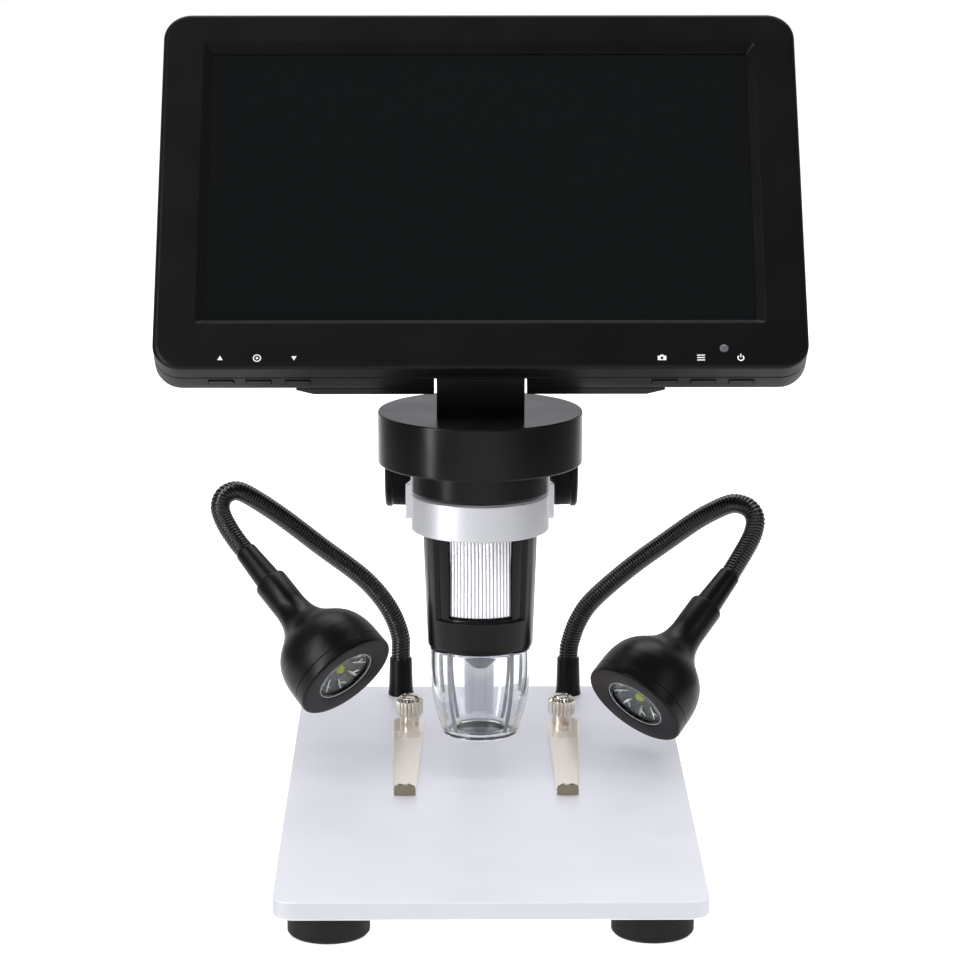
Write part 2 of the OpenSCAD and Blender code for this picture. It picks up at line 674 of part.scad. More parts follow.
module main_board() {
    board_w = case_w - 2*board_edge;
    side_w = 36;
    side_x = (board_w - side_w)/2;
    color("darkgreen") on_screen() {
        translate([-board_w/2, case_y0 + 23, board_z - board_t]) cube([board_w, 40, board_t]);
        for (s = [-1, 1]) translate([s*side_x - side_w/2, case_y0 + wall + 2.4, board_z - board_t])
            cube([side_w, 21, board_t]);
        // a switch behind each button
        for (x = button_xs) translate([x - 3, case_y0 + wall + 1.45, button_z - 1.5]) cube([6, 3.2, 3]);
    }
}

module battery() {
    cell_w = 0.65*2*bulge_half;
    cell_h = 0.5*bulge_y1;
    color("#6c7a89") on_screen() translate([-cell_w/2, cell_y, bulge_z + wall + 0.2])
        cube([cell_w, cell_h, board_z - board_t - bulge_z - wall - 0.5]);
}

module back_screws() {
    color("#444444") on_screen() for (x = [-1, 1], y = [case_y0 + screw_low, case_y1 - screw_high])
        translate([x*(case_w/2 - screw_side), y, back_z - 0.1]) {
            cylinder(r = 2.1, h = 1.2);
            cylinder(r = 1, h = 4.6);
        }
}

module remote_sensor() {
    color("#55585c") on_screen() translate([ir_x, ir_y, 0]) rotate_extrude($fn = 32)
        polygon(concat([[0, -3.6], [2.6, -3.6], [2.6, -2.4], [1.65, -2.4]],
            [for (a = [0:15:90]) [1.65*cos(a), -0.6 + 0.9*sin(a)]]));
}

module push_button(i) {
    color("#26262a") on_screen() translate([button_xs[i], case_y0 - button_proud, button_z]) {
        rotate([-90, 0, 0]) linear_extrude(button_proud + wall + 0.3) rounded_rect(button_w, button_h, 0.6);
        translate([-button_w/2 - 0.7, button_proud + wall + 0.1, -button_h/2 - 0.5])
            cube([button_w + 1.4, 1, button_h + 1]);
    }
}

module button_up() { push_button(0); }
module button_select() { push_button(1); }
module button_down() { push_button(2); }
module button_photo() { push_button(3); }
module button_menu() { push_button(4); }
module button_power() { push_button(5); }

// ---- clips ----

// the leaf lies flat at its screw, arches down to its tip and curls up at the end
module clip(side) {
    front = clip_tail - clip_l;
    tab = 3.8;
    color("#b9b2a6") translate([plate_shift + side*clip_x, clip_y, clip_z]) difference() {
        intersection() {
            rotate([90, 0, 90]) translate([0, 0, -clip_w]) linear_extrude(2*clip_w) polygon([
                [clip_tail, 0], [-8, 0], [-13, 1.4], [-20, 1.6], [front + 7, 0], [front + 2, 0],
                [front + 1, 0.5],
                [front, tab], [front + clip_t, tab + 0.1], [front + 1 + clip_t, 0.5 + clip_t],
                [front + 2 + clip_t, clip_t],
                [front + 7, clip_t], [-20, 1.6 + clip_t], [-13, 1.4 + clip_t], [-8, clip_t], [clip_tail,
                clip_t]]);
            translate([0, 0, -5]) linear_extrude(20) union() {
                polygon([[-clip_w/2, 3], [-clip_tip_w/2, front + clip_tip_w/2], [clip_tip_w/2,
                    front + clip_tip_w/2], [clip_w/2, 3]]);
                translate([0, 3]) circle(clip_w/2);
                translate([0, front + clip_tip_w/2]) circle(clip_tip_w/2);
            }
        }
        translate([0, 0, -1]) cylinder(r = thumb_shank_r + slip, h = 4);
    }
}

module clip_left() { clip(-1); }
module clip_right() { clip(1); }

module thumbscrew(side) {
    flutes = 16;
    head_z = clip_t + 0.1 + thumb_collar_h;
    color("#c9c2b4") translate([plate_shift + side*clip_x, clip_y, clip_z]) difference() {
        union() {
            translate([0, 0, -plate_t]) cylinder(r = thumb_shank_r, h = plate_t + clip_t + 0.2);
            translate([0, 0, clip_t + 0.1]) cylinder(r = thumb_collar_r, h = thumb_collar_h);
            translate([0, 0, head_z]) rotate_extrude() polygon([[0, 0], [thumb_d/2 - 0.8, 0], [thumb_d/2,
                0.8],
                [thumb_d/2, thumb_h - 1.2], [thumb_d/2 - 0.8, thumb_h - 0.4], [2.6, thumb_h - 0.4], [2.6,
                thumb_h], [0, thumb_h]]);
        }
        for (i = [0:flutes - 1]) rotate(i*360/flutes) translate([thumb_d/2 + 0.2, 0, head_z - 1])
            cylinder(r = 0.5, h = thumb_h + 1);
        translate([-5, -0.5, head_z + thumb_h - 0.9]) cube([10, 1, 2]);
    }
}

module thumbscrew_left() { thumbscrew(-1); }
module thumbscrew_right() { thumbscrew(1); }

// ---- lamps ----

module lamp_sleeves() {
    color("#1c1c1e") for (s = [-1, 1]) translate([plate_shift + s*sleeve_x, sleeve_y, 0])
        rotate_extrude() polygon([
        [3, plate_z + 0.4], [3, plate_top + 0.05], [sleeve_d/2 + 0.6, plate_top + 0.05],
        [sleeve_d/2 + 0.6, plate_top + 1],
        [sleeve_d/2, plate_top + 1.3], [sleeve_d/2 - 0.3, plate_top + sleeve_h], [neck_bore,
        plate_top + sleeve_h],
        [neck_bore, plate_top + 4], [sleeve_bore, plate_top + 4], [sleeve_bore, plate_z + 0.4]]);
}

module lamp_nuts() {
    color("silver") for (s = [-1, 1]) translate([plate_shift + s*sleeve_x, sleeve_y, plate_z - 0.4])
        linear_extrude(2.2) difference() {
            circle(r = 5, $fn = 6);
            circle(3.02);
        }
}

// point and direction on a route, u from 0 at its first point to 1 at its last (Catmull-Rom)
function route_point(route, u) = let (n = len(route) - 1, t = min(max(u, 0), 0.99999)*n, i = floor(t),
    f = t - i,
    a = route[max(i - 1, 0)], b = route[i], c = route[i + 1], d = route[min(i + 2, n)])
    0.5*(2*b + (c - a)*f + (2*a - 5*b + 4*c - d)*f*f + (3*b - a - 3*c + d)*f*f*f);
function unit(v) = v/norm(v);
function route_dir(route, u) = unit(route_point(route, u + 0.004) - route_point(route, u - 0.004));
// pairs of [distance along the route, u]
function route_table(route, k = 160) = [for (i = 0, s = 0; i <= k;
    s = s + norm(route_point(route, i/k) - route_point(route, (i + 1)/k)), i = i + 1) [s, i/k]];
function route_length(table) = table[len(table) - 1][0];

// a tube along a route: profile is a closed loop of [distance, radius] pairs, from the point at distance d0
module route_tube(route, table, d0, profile) {
    n = goose_sides;
    m = len(profile);
    points = [for (p = profile) let (u = lookup(d0 + p[0], table), o = route_point(route, u),
        t = route_dir(route, u),
        side = unit(cross(t, [0, 1, 0.2])), up = cross(side, t))
        for (j = [0:n - 1]) o + p[1]*(cos(j*360/n)*side + sin(j*360/n)*up)];
    faces = [for (i = [0:m - 1], j = [0:n - 1]) let (k = (i + 1) % m, l = (j + 1) % n)
        each [[i*n + j, k*n + l, k*n + j], [i*n + j, i*n + l, k*n + l]]];
    polyhedron(points, faces);
}

// ribbed wall from s0 to s1, a bead round s0 if bead, and a cup round s1 for the next bead if cup
function ribs(s0, s1) = let (count = floor((s1 - s0)/rib_pitch), step = (s1 - s0)/count)
    [for (i = [0:count - 1]) each [[s0 + i*step, goose_r - 0.45], [s0 + (i + 0.5)*step, goose_r]]];
function goose_profile(s0, s1, bead, cup) = concat(
    bead ? [for (a = [-50, -20, 10]) [s0 + ball_r*sin(a), ball_r*cos(a)]] : [],
    ribs(bead ? s0 + bead_gap : s0, cup ? s1 - bead_gap : s1), [[cup ? s1 - bead_gap : s1, goose_r - 0.45]],
    cup ? [for (a = [0, 1]) [s1 - bead_gap - a*1.2, sqrt(pow(ball_r + 0.12, 2) - pow(bead_gap + a*0.45,
        2)) - a*0.5]] : [],
    [for (k = [0:ceil((s1 - s0 - 6)/4)]) [s1 - 3 - (cup ? bead_gap : 0)
    - k*(s1 - s0 - 5 - (cup ? bead_gap : 0))/ceil((s1 - s0 - 6)/4), bore_r]]);

module gooseneck_lower(route) {
    color("#151515") route_tube(route, route_table(route), neck_from, goose_profile(0,
        knee_at - neck_from, false, true));
}

module gooseneck_upper(route) {
    table = route_table(route);
    span = route_length(table) - wrist_back - knee_at;
    color("#151515") route_tube(route, table, knee_at, goose_profile(0, span, true, true));
}

// turns +Z of what follows to the lamp's axis, with the origin at the end of the gooseneck
module on_lamp(route, face) {
    end = route[len(route) - 1];
    d = unit(face - end);
    translate(end) rotate([0, acos(d[2]), atan2(d[1], d[0])]) children();
}

module lamp_connector(route, face) {
    table = route_table(route);
    color("#151515") {
        route_tube(route, table, route_length(table) - wrist_back, goose_profile(0, wrist_back - 0.1,
            true, false));
        on_lamp(route, face) rotate_extrude() polygon([[connector_r - 0.5, 0.1], [connector_r, 0.6],
            [connector_r + 0.7, connector_l - 0.3], [bore_r, connector_l - 0.3], [bore_r, 0.1]]);
    }
}

module lamp_shell(route, face) {
    s = connector_l + collar_l;
    color("#1c1c1e") on_lamp(route, face) rotate_extrude(convexity = 4) polygon(concat(
        [[collar_r - 0.5, connector_l], [collar_r, connector_l + 0.5], [collar_r, s]],
        [for (p = bell) [p[1]*lamp_r, s + p[0]]],
        [[lamp_r - wall, s + bell_l], [lamp_r - wall, s + 20], [0.855*lamp_r - wall, s + 15],
         [0.7*lamp_r - wall, s + 12.5], [0.3*lamp_r, s + 9.5], [2, s + 6.5], [2, connector_l]]));
}

module lamp_front(route, face) {
    s = connector_l + collar_l + bell_l + seam;
    color("#1c1c1e") on_lamp(route, face) rotate_extrude(convexity = 4) polygon([
        [lamp_r, s], [lamp_r, face_at - 0.7], [lamp_r - 0.7, face_at], [lamp_r - 1.4, face_at],
        [lamp_lens_r + 0.7, face_at - 0.4], [lamp_lens_r + 0.1, face_at - 0.8], [lamp_lens_r + 0.1,
        face_at - 2.1],
        [lamp_lens_r - 0.8, face_at - 2.1], [3.2, face_at - 9.5], [3.2, face_at - 10.5], [6,
        face_at - 10.5],
        [lamp_lens_r + 1, face_at - 3.8], [lamp_r - wall, face_at - 2.2], [lamp_r - wall, s]]);
}

module lamp_lens(route, face) {
    color("ghostwhite") on_lamp(route, face) {
        translate([0, 0, face_at - 2.05]) cylinder(r = lamp_lens_r, h = 1.2);
        translate([0, 0, face_at - 10.5]) cylinder(r = 3.1, h = 1.4);
    }
}

module gooseneck_lower_left() { gooseneck_lower(left_route); }
module gooseneck_upper_left() { gooseneck_upper(left_route); }
module lamp_connector_left() { lamp_connector(left_route, left_face); }
module lamp_shell_left() { lamp_shell(left_route, left_face); }
module lamp_front_left() { lamp_front(left_route, left_face); }
module lamp_lens_left() { lamp_lens(left_route, left_face); }
module gooseneck_lower_right() { gooseneck_lower(right_route); }
module gooseneck_upper_right() { gooseneck_upper(right_route); }
module lamp_connector_right() { lamp_connector(right_route, right_face); }
module lamp_shell_right() { lamp_shell(right_route, right_face); }
module lamp_front_right() { lamp_front(right_route, right_face); }
module lamp_lens_right() { lamp_lens(right_route, right_face); }

base_plate();
rubber_feet();
foot_screws();
post();
rack();
post_bolt();
post_cap();
carriage_bracket();
drag_screw();
drag_pad();
shaft_bushes();
pinion_shaft();
focus_knob_left();
focus_knob_right();
head_front_shell();
head_rear_shell();
sensor_board();
barrel_shell();
magnification_wheel();
lens_cell();
objective_lens();
led_ring();
clear_cap();
hinge_bracket();
hinge_pin();
screen_front();
screen_back();
lcd_panel();
main_board();
battery();
back_screws();
remote_sensor();
button_up();
button_select();
button_down();
button_photo();
button_menu();
button_power();
clip_left();
clip_right();
thumbscrew_left();
thumbscrew_right();
lamp_sleeves();
lamp_nuts();
gooseneck_lower_left();
gooseneck_upper_left();
lamp_connector_left();
lamp_shell_left();
lamp_front_left();
lamp_lens_left();
gooseneck_lower_right();
gooseneck_upper_right();
lamp_connector_right();
lamp_shell_right();
lamp_front_right();
lamp_lens_right();
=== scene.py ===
import math
import bpy
import bmesh
import numpy as np
from mathutils import Matrix, Vector


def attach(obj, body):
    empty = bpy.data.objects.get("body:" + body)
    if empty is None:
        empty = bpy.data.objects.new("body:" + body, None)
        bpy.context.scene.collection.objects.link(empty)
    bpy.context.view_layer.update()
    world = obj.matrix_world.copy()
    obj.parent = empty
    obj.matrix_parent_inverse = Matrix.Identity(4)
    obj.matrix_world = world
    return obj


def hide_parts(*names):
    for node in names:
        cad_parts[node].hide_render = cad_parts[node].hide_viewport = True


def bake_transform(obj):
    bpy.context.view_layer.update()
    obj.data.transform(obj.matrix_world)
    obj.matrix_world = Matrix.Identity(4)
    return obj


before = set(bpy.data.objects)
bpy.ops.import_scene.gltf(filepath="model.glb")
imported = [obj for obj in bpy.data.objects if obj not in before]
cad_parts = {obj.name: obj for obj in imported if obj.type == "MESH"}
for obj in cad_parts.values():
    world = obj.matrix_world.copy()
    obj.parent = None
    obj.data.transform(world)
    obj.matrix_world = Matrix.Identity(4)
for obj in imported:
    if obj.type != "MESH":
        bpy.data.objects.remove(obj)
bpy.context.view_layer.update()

print("stage: frame loaded,", len(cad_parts), "nodes")

mm = 0.001  # every size below is in millimetres, in the frame's own axes


# Making meshes.

# welds doubles, points faces outwards, smooths all but the sharp edges
def finishMesh(mesh, sharpDegrees=32, recalc=True):
    work = bmesh.new()
    work.from_mesh(mesh)
    bmesh.ops.remove_doubles(work, verts=work.verts, dist=2e-6)
    if recalc:
        bmesh.ops.recalc_face_normals(work, faces=work.faces)
    work.to_mesh(mesh)
    work.free()
    mesh.polygons.foreach_set("use_smooth", np.ones(len(mesh.polygons), bool))
    mesh.set_sharp_from_angle(angle=math.radians(sharpDegrees))
    mesh.update()


# a piece from points in mm and faces: it rides its body, takes its material's slot and may replace
# CAD nodes
def newPiece(name, points, faces, material, body, replaced=(), sharpDegrees=32, recalc=True):
    mesh = bpy.data.meshes.new(name)
    mesh.from_pydata((np.asarray(points, float) * mm).tolist(), [], [list(map(int, f)) for f in faces])
    finishMesh(mesh, sharpDegrees, recalc)
    piece = bpy.data.objects.new(name, mesh)
    bpy.context.scene.collection.objects.link(piece)
    mesh.materials.append(material)
    if body:
        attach(piece, body)
    if replaced:
        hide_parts(*replaced)
    return piece


# quads of a grid of rows x cols points, closed in either direction if asked
def gridFaces(rows, cols, closeRows=False, closeCols=True):
    r = np.arange(rows if closeRows else rows - 1)
    c = np.arange(cols if closeCols else cols - 1)
    rr, cc = np.meshgrid(r, c, indexing="ij")
    nextR, nextC = (rr + 1) % rows, (cc + 1) % cols
    quads = np.stack([rr * cols + cc, rr * cols + nextC, nextR * cols + nextC, nextR * cols + cc], -1)
    return quads.reshape(-1, 4).tolist()


# a polyline with its corners rounded: each point is (a, b, radius), arcs have the given steps
def rounded(corners, closed=False, steps=5):
    pts = np.array([c[:2] for c in corners], float)
    radii = [c[2] if len(c) > 2 else 0 for c in corners]
    out = []
    n = len(pts)
    for i in range(n):
        if radii[i] <= 0 or (not closed and i in (0, n - 1)):
            out.append(pts[i])
            continue
        before, here, after = pts[i - 1], pts[i], pts[(i + 1) % n]
        u, v = before - here, after - here
        lu, lv = np.linalg.norm(u), np.linalg.norm(v)
        u, v = u / lu, v / lv
        half = math.acos(np.clip(np.dot(u, v), -1, 1)) / 2
        back = min(radii[i] / math.tan(half), 0.49 * lu, 0.49 * lv)
        r = back * math.tan(half)
        middle = here + (u + v) / np.linalg.norm(u + v) * r / math.sin(half)
        a0, a1 = here + u * back - middle, here + v * back - middle
        start, turn = math.atan2(a0[1], a0[0]), math.atan2(a1[1], a1[0])
        sweep = (turn - start + math.pi) % (2 * math.pi) - math.pi
        for k in range(steps + 1):
            a = start + sweep * k / steps
            out.append(middle + r * np.array([math.cos(a), math.sin(a)]))
    return np.array(out)


# an orthonormal frame whose third axis is direction
def axesAlong(direction):
    w = np.array(direction, float)
    w /= np.linalg.norm(w)
    helper = np.array([0, 0, 1.0]) if abs(w[2]) < 0.9 else np.array([0, 1.0, 0])
    u = np.cross(helper, w)
    u /= np.linalg.norm(u)
    return u, np.cross(w, u), w


# turned shape: each (radius, height) of the profile goes round the axis;
# ripple(angle, radius, height) may change the radius. A whole turn, or an arc with flat ends.
def turned(profile, place=(0, 0, 0), direction=(0, 0, 1), around=128, closed=True, ripple=None, arc=None,
           angles=None):
    profile = np.asarray(profile, float)
    if angles is None:
        if arc:
            angles = np.linspace(arc[0], arc[1], around)
        else:
            angles = np.arange(around) * 2 * math.pi / around
    radius = np.repeat(profile[:, :1], len(angles), 1)
    height = np.repeat(profile[:, 1:2], len(angles), 1)
    turn = np.repeat(angles[None, :], len(profile), 0)
    if ripple is not None:
        radius = ripple(turn, radius, height)
    u, v, w = axesAlong(direction)
    grid = (np.asarray(place, float) + (radius * np.cos(turn))[..., None] * u
            + (radius * np.sin(turn))[..., None] * v + height[..., None] * w)
    rows, cols = grid.shape[:2]
    faces = gridFaces(rows, cols, closeRows=closed, closeCols=arc is None)
    if arc:
        faces.append([i * cols for i in range(rows)])
        faces.append([i * cols + cols - 1 for i in range(rows)][::-1])
    return grid.reshape(-1, 3), faces


# outline of a rectangle with round corners, as many points at any size
def roundRect(width, height, radius, perCorner=10):
    radius = max(radius, 0.02)
    t = np.linspace(0, math.pi / 2, perCorner)
    out = []
    for k, (sx, sy) in enumerate([(1, 1), (-1, 1), (-1, -1), (1, -1)]):
        a = t + k * math.pi / 2
        out.append(np.stack([sx * (width / 2 - radius) + radius * np.cos(a),
                             sy * (height / 2 - radius) + radius * np.sin(a)], 1))
    return np.concatenate(out)


# loops of round rectangles joined into a skin: each layer is (width, height, radius, z, dx, dy)
def layered(layers, closed=False, perCorner=10, toWorld=None):
    loops = []
    for w, h, r, z, dx, dy in layers:
        o = roundRect(w, h, r, perCorner)
        loops.append(np.column_stack([o[:, 0] + dx, o[:, 1] + dy, np.full(len(o), z)]))
    grid = np.array(loops)
    rows, cols = grid.shape[:2]
    faces = gridFaces(rows, cols, closeRows=closed)
    if not closed:
        faces.append(list(range(cols))[::-1])
        faces.append([(rows - 1) * cols + i for i in range(cols)])
    points = grid.reshape(-1, 3)
    return (toWorld(points) if toWorld else points), faces


# several shapes as one list of points and faces
def joined(*shapes):
    points, faces, start = [], [], 0
    for p, f in shapes:
        points.append(np.asarray(p, float))
        faces += [[i + start for i in face] for face in f]
        start += len(p)
    return np.concatenate(points), faces


# one modifier with its settings, named after its kind
def addModifier(piece, kind, **settings):
    modifier = piece.modifiers.new(kind.lower(), kind)
    for key, value in settings.items():
        setattr(modifier, key, value)
    return modifier


# shades by face area, so that a narrow bevel doesn't bend the light on the flat beside it
def evenNormals(piece):
    addModifier(piece, "WEIGHTED_NORMAL", keep_sharp=True, weight=60)


# a copy of a CAD node, welded and with its sharp edges broken by a narrow bevel
def softened(node, material, body, width=0.3, segments=2, angle=35, name=None):
    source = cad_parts[node]
    mesh = source.data.copy()
    work = bmesh.new()
    work.from_mesh(mesh)
    bmesh.ops.remove_doubles(work, verts=work.verts, dist=2e-6)
    bmesh.ops.dissolve_limit(work, angle_limit=math.radians(1.2), verts=work.verts, edges=work.edges)
    work.to_mesh(mesh)
    work.free()
    mesh.materials.clear()
    mesh.materials.append(material)
    mesh.polygons.foreach_set("use_smooth", np.ones(len(mesh.polygons), bool))
    mesh.set_sharp_from_angle(angle=math.radians(angle))
    piece = bpy.data.objects.new(name or node + "_finished", mesh)
    bpy.context.scene.collection.objects.link(piece)
    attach(piece, body)
    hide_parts(node)
    if width:
        addModifier(piece, "BEVEL", width=width * mm, segments=segments, limit_method="ANGLE",
                    angle_limit=math.radians(angle), harden_normals=False, use_clamp_overlap=True)
    evenNormals(piece)
    return piece


# Making materials.

# sRGB hex to the linear colour that shaders use
def colour(text):
    parts = [int(text[i:i + 2], 16) / 255 for i in (1, 3, 5)]
    return tuple(p / 12.92 if p <= 0.04045 else ((p + 0.055) / 1.055) ** 2.4 for p in parts) + (1,)


# one node with its settings, its fixed inputs and its links
def addNode(tree, kind, settings=None, **inputs):
    made = tree.nodes.new(kind)
    for key, value in (settings or {}).items():
        setattr(made, key, value)
    for key, value in inputs.items():
        key = key.replace("_", " ")
        socket = (made.inputs[int(key[2:])] if key.startswith("in") and key[2:].isdigit()
                  else made.inputs[key])
        if isinstance(value, bpy.types.NodeSocket):
            tree.links.new(value, socket)
        else:
            socket.default_value = value
    return made


# a material whose tree has no nodes yet, and that tree
def emptyMaterial(name):
    material = bpy.data.materials.new(name)
    material.use_nodes = True
    material.node_tree.nodes.clear()
    return material, material.node_tree


# size in mm of the broad patches of gloss on every surface, and the usual index of black plastics
surface = {"patch": 18.0, "plasticIndex": 1.46}


# A surface with faint unevenness of colour, gloss and height, all on Object coordinates.
# grain is the size of the texture in mm, and depth how far it stands up, in mm.
def finishOf(name, tone, roughness, metallic=0.0, grain=0.5, depth=0.0, toneShift=0.04,
             roughShift=0.05, stretch=(1, 1, 1), specular=0.5):
    material, tree = emptyMaterial(name)
    place = addNode(tree, "ShaderNodeTexCoord").outputs["Object"]
    fine = addNode(tree, "ShaderNodeMapping", in0=place, Scale=tuple(s / (grain * mm) for s in stretch))
    grainNoise = addNode(tree, "ShaderNodeTexNoise", in0=fine.outputs[0], Scale=1.0, Detail=3.0,
                         Roughness=0.6)
    broad = addNode(tree, "ShaderNodeTexNoise", in0=place, Scale=1 / (surface["patch"] * mm), Detail=2.0)
    deep = [c * (1 - toneShift) for c in colour(tone)[:3]] + [1]
    pale = [min(c * (1 + toneShift), 1) for c in colour(tone)[:3]] + [1]
    mixed = addNode(tree, "ShaderNodeMix", {"data_type": "RGBA"}, in0=grainNoise.outputs[0])
    mixed.inputs[6].default_value = deep
    mixed.inputs[7].default_value = pale
    rough = addNode(tree, "ShaderNodeMapRange", in0=broad.outputs[0])
    rough.inputs[1].default_value, rough.inputs[2].default_value = 0.3, 0.7
    rough.inputs[3].default_value = max(roughness - roughShift, 0)
    rough.inputs[4].default_value = roughness + roughShift
    shader = addNode(tree, "ShaderNodeBsdfPrincipled", Base_Color=mixed.outputs[2], Metallic=metallic,
                     Roughness=rough.outputs[0])
    if not metallic:
        shader.inputs["IOR"].default_value = surface["plasticIndex"]
        shader.inputs["Specular IOR Level"].default_value = specular
    if depth:
        bump = addNode(tree, "ShaderNodeBump", Strength=1.0, Distance=depth * mm,
                       Height=grainNoise.outputs[0])
        tree.links.new(bump.outputs[0], shader.inputs["Normal"])
    tree.links.new(shader.outputs[0], addNode(tree, "ShaderNodeOutputMaterial").inputs[0])
    return material


# Bead-blasted, clear anodised aluminium: an even satin with a fine sparkle of grit.
satinAluminium = finishOf("anodisedAluminium", "#dbdce4", 0.45, metallic=0.25,
                          grain=0.35, depth=0.006, toneShift=0.03, roughShift=0.04)
# Its cut edge: a little duller, and darker and greyer than the face as painted shade.
plateEdgeShade = finishOf("aluminiumEdgeShade", "#c6c7ce", 0.5, metallic=0.25, grain=0.35, depth=0.006,
                   toneShift=0.03)
# The same metal on the clamp ring, blasted with coarser grit (drawn at 0.6 mm so that it shows).
blastedRing = finishOf("blastedAluminium", "#c6c7cc", 0.42, metallic=1.0, grain=0.6,
                       depth=0.03, toneShift=0.06, roughShift=0.05)
# Extruded aluminium of the post: faint lines along it from the die.
extrudedPost = finishOf("extrudedAluminium", "#ececf2", 0.34, metallic=0.25, grain=0.5,
                        stretch=(1, 1, 0.02), depth=0.01, toneShift=0.05)
# Nickel plating over spring steel: warm and bright, with faint rolling lines along the leaf.
nickelPlate = finishOf("nickelPlate", "#f4ebe1", 0.24, metallic=0.55, grain=0.25,
                       stretch=(1, 0.05, 1), depth=0.004, toneShift=0.03)
# Turned and plated thumbscrew: a clearer mirror than the leaf.
nickelTurned = finishOf("turnedNickel", "#e2dbd0", 0.2, metallic=1.0, grain=0.3,
                        stretch=(0.2, 0.2, 3), depth=0.003, toneShift=0.03)
# Zinc-plated screws and nuts.
zincSteel = finishOf("zincPlatedSteel", "#bfc2c6", 0.35, metallic=1.0, grain=0.3,
                     depth=0.003)
# Moulded ABS with a fine spark-eroded texture (0.35 mm grain): a dull black that lifts a little at
# glancing angles.
mouldedAbs = finishOf("texturedAbs", "#0b0a0c", 0.4, grain=0.35, depth=0.01, specular=0.15,
                      toneShift=0.08)
# ABS from a smoother tool, as on the camera head: a clear highlight down its side.
smoothAbs = finishOf("smoothAbs", "#09090a", 0.24, grain=0.4, depth=0.002,
                     specular=0.2, toneShift=0.05)
# Satin black ABS of the lamps.
lampAbs = finishOf("lampAbs", "#0b0b0c", 0.33, grain=0.3, depth=0.003, specular=0.18,
                   toneShift=0.05)
# Black-lacquered steel wire, wound into the lamps' necks.
lacqueredWire = finishOf("lacqueredWire", "#0a0a0b", 0.22, grain=0.3, depth=0.001,
                         specular=0.55)
# Moulded rubber: matt, no clear reflection.
mouldedRubber = finishOf("mouldedRubber", "#1b1a19", 0.75, grain=0.3, depth=0.02,
                         specular=0.25, toneShift=0.1)
# Silver-lacquered plastic of the magnification wheel.
silverWheel = finishOf("silverLacquer", "#e4e5e9", 0.25, metallic=0.8, grain=0.3,
                       depth=0.002, toneShift=0.02)
# Hard-coated display front over a black panel: nearly black, with a very weak mirror.
displayGlass = finishOf("hardCoatedDisplay", "#101213", 0.1, grain=2.0, depth=0.0,
                        specular=0.12, toneShift=0.02, roughShift=0.01)
# Grey moulded parts: the lens nose and the remote's sensor.
greyPlastic = finishOf("greyPolycarbonate", "#5b5b61", 0.35, grain=0.4, depth=0.003,
                       specular=0.5)
# Frosted rim of the cap: scatters light, so it shows as a pale outline.
frostedRim = finishOf("frostedRim", "#eceef1", 0.4, grain=0.3, depth=0.004, specular=0.5)
# The wall's ribs seen edge on: clear acrylic drawn opaque grey, as painted shade for the light lost along
# them.
ribEdgeShade = finishOf("ribEdgeShade", "#8b8e95", 0.3, grain=0.4, depth=0.004, specular=0.5)
# Leaf's turned-up end: the same plating, darker as painted shade.
nickelTabShade = finishOf("nickelTabShade", "#8f8876", 0.3, metallic=1.0, grain=0.3, depth=0.01,
                      toneShift=0.12)
# Polished rim round the lamp's lens.
polishedRim = finishOf("polishedRim", "#e8eaec", 0.15, metallic=0.6, grain=0.3,
                       depth=0.001)
# Darker, glossier ring in the cap's foot.
darkStop = finishOf("darkPolycarbonate", "#3c3d42", 0.28, grain=0.4, depth=0.002,
                    specular=0.6)
# Screen-printed white ink of the key symbols.
printedInk = finishOf("screenPrintInk", "#e9eaec", 0.5, grain=0.2, depth=0.001, specular=0.4)
# Vacuum-metallised reflector bowl, drawn as a dark grey mirror: its dark tone is painted reflection of
# the dark inside of the lamp, and its strong light and dark mottling is painted reflection too.
reflectorDarkMirror = finishOf("metallisedReflector", "#6a6d70", 0.06, metallic=1.0, grain=1.6,
                          depth=0.0, toneShift=0.85, roughShift=0.02)
# Yellow phosphor over the light's chip.
phosphor = finishOf("phosphor", "#d9dc3a", 0.4, grain=0.2, depth=0.002)
# Sintered bronze, natural nylon, solder mask and foil: hidden pieces that show only when taken apart.
sinteredBronze = finishOf("sinteredBronze", "#a9794a", 0.5, metallic=1.0, grain=0.2,
                          depth=0.004)
naturalNylon = finishOf("naturalNylon", "#dedccf", 0.45, grain=0.4, depth=0.004)
solderMask = finishOf("solderMask", "#1f5a33", 0.4, grain=0.6, depth=0.004)
foilPouch = finishOf("foilPouch", "#9aa1a8", 0.3, metallic=1.0, grain=1.2, depth=0.02)


# Clear acrylic: polished, almost colourless, bends light like glass of index 1.49.
def clearMaterial(name, tint, roughness, ior):
    material, tree = emptyMaterial(name)
    place = addNode(tree, "ShaderNodeTexCoord").outputs["Object"]
    noise = addNode(tree, "ShaderNodeTexNoise", in0=place, Scale=1 / (9 * mm), Detail=1.0)
    flow = addNode(tree, "ShaderNodeBump", Strength=0.25, Distance=0.05 * mm, Height=noise.outputs[0])
    shader = addNode(tree, "ShaderNodeBsdfPrincipled", Roughness=roughness, IOR=ior,
                     Normal=flow.outputs[0])
    shader.inputs["Base Color"].default_value = colour(tint)
    shader.inputs["Transmission Weight"].default_value = 1.0
    tree.links.new(shader.outputs[0], addNode(tree, "ShaderNodeOutputMaterial").inputs[0])
    return material


clearAcrylic = clearMaterial("clearAcrylic", "#f4f6f8", 0.02, 1.49)
opticalGlass = clearMaterial("opticalGlass", "#eef4f2", 0.0, 1.52)
# The lamp's cover with an anti-reflex coat: hardly mirrors, so the bowl shows.
coatedCover = clearMaterial("coatedCover", "#f2f5f0", 0.0, 1.14)
# Window in the cap's foot: its dark tint is painted reflection of the barrel above it.
footWindowMirrorTint = clearMaterial("footWindowMirrorTint", "#303237", 0.02, 1.3)

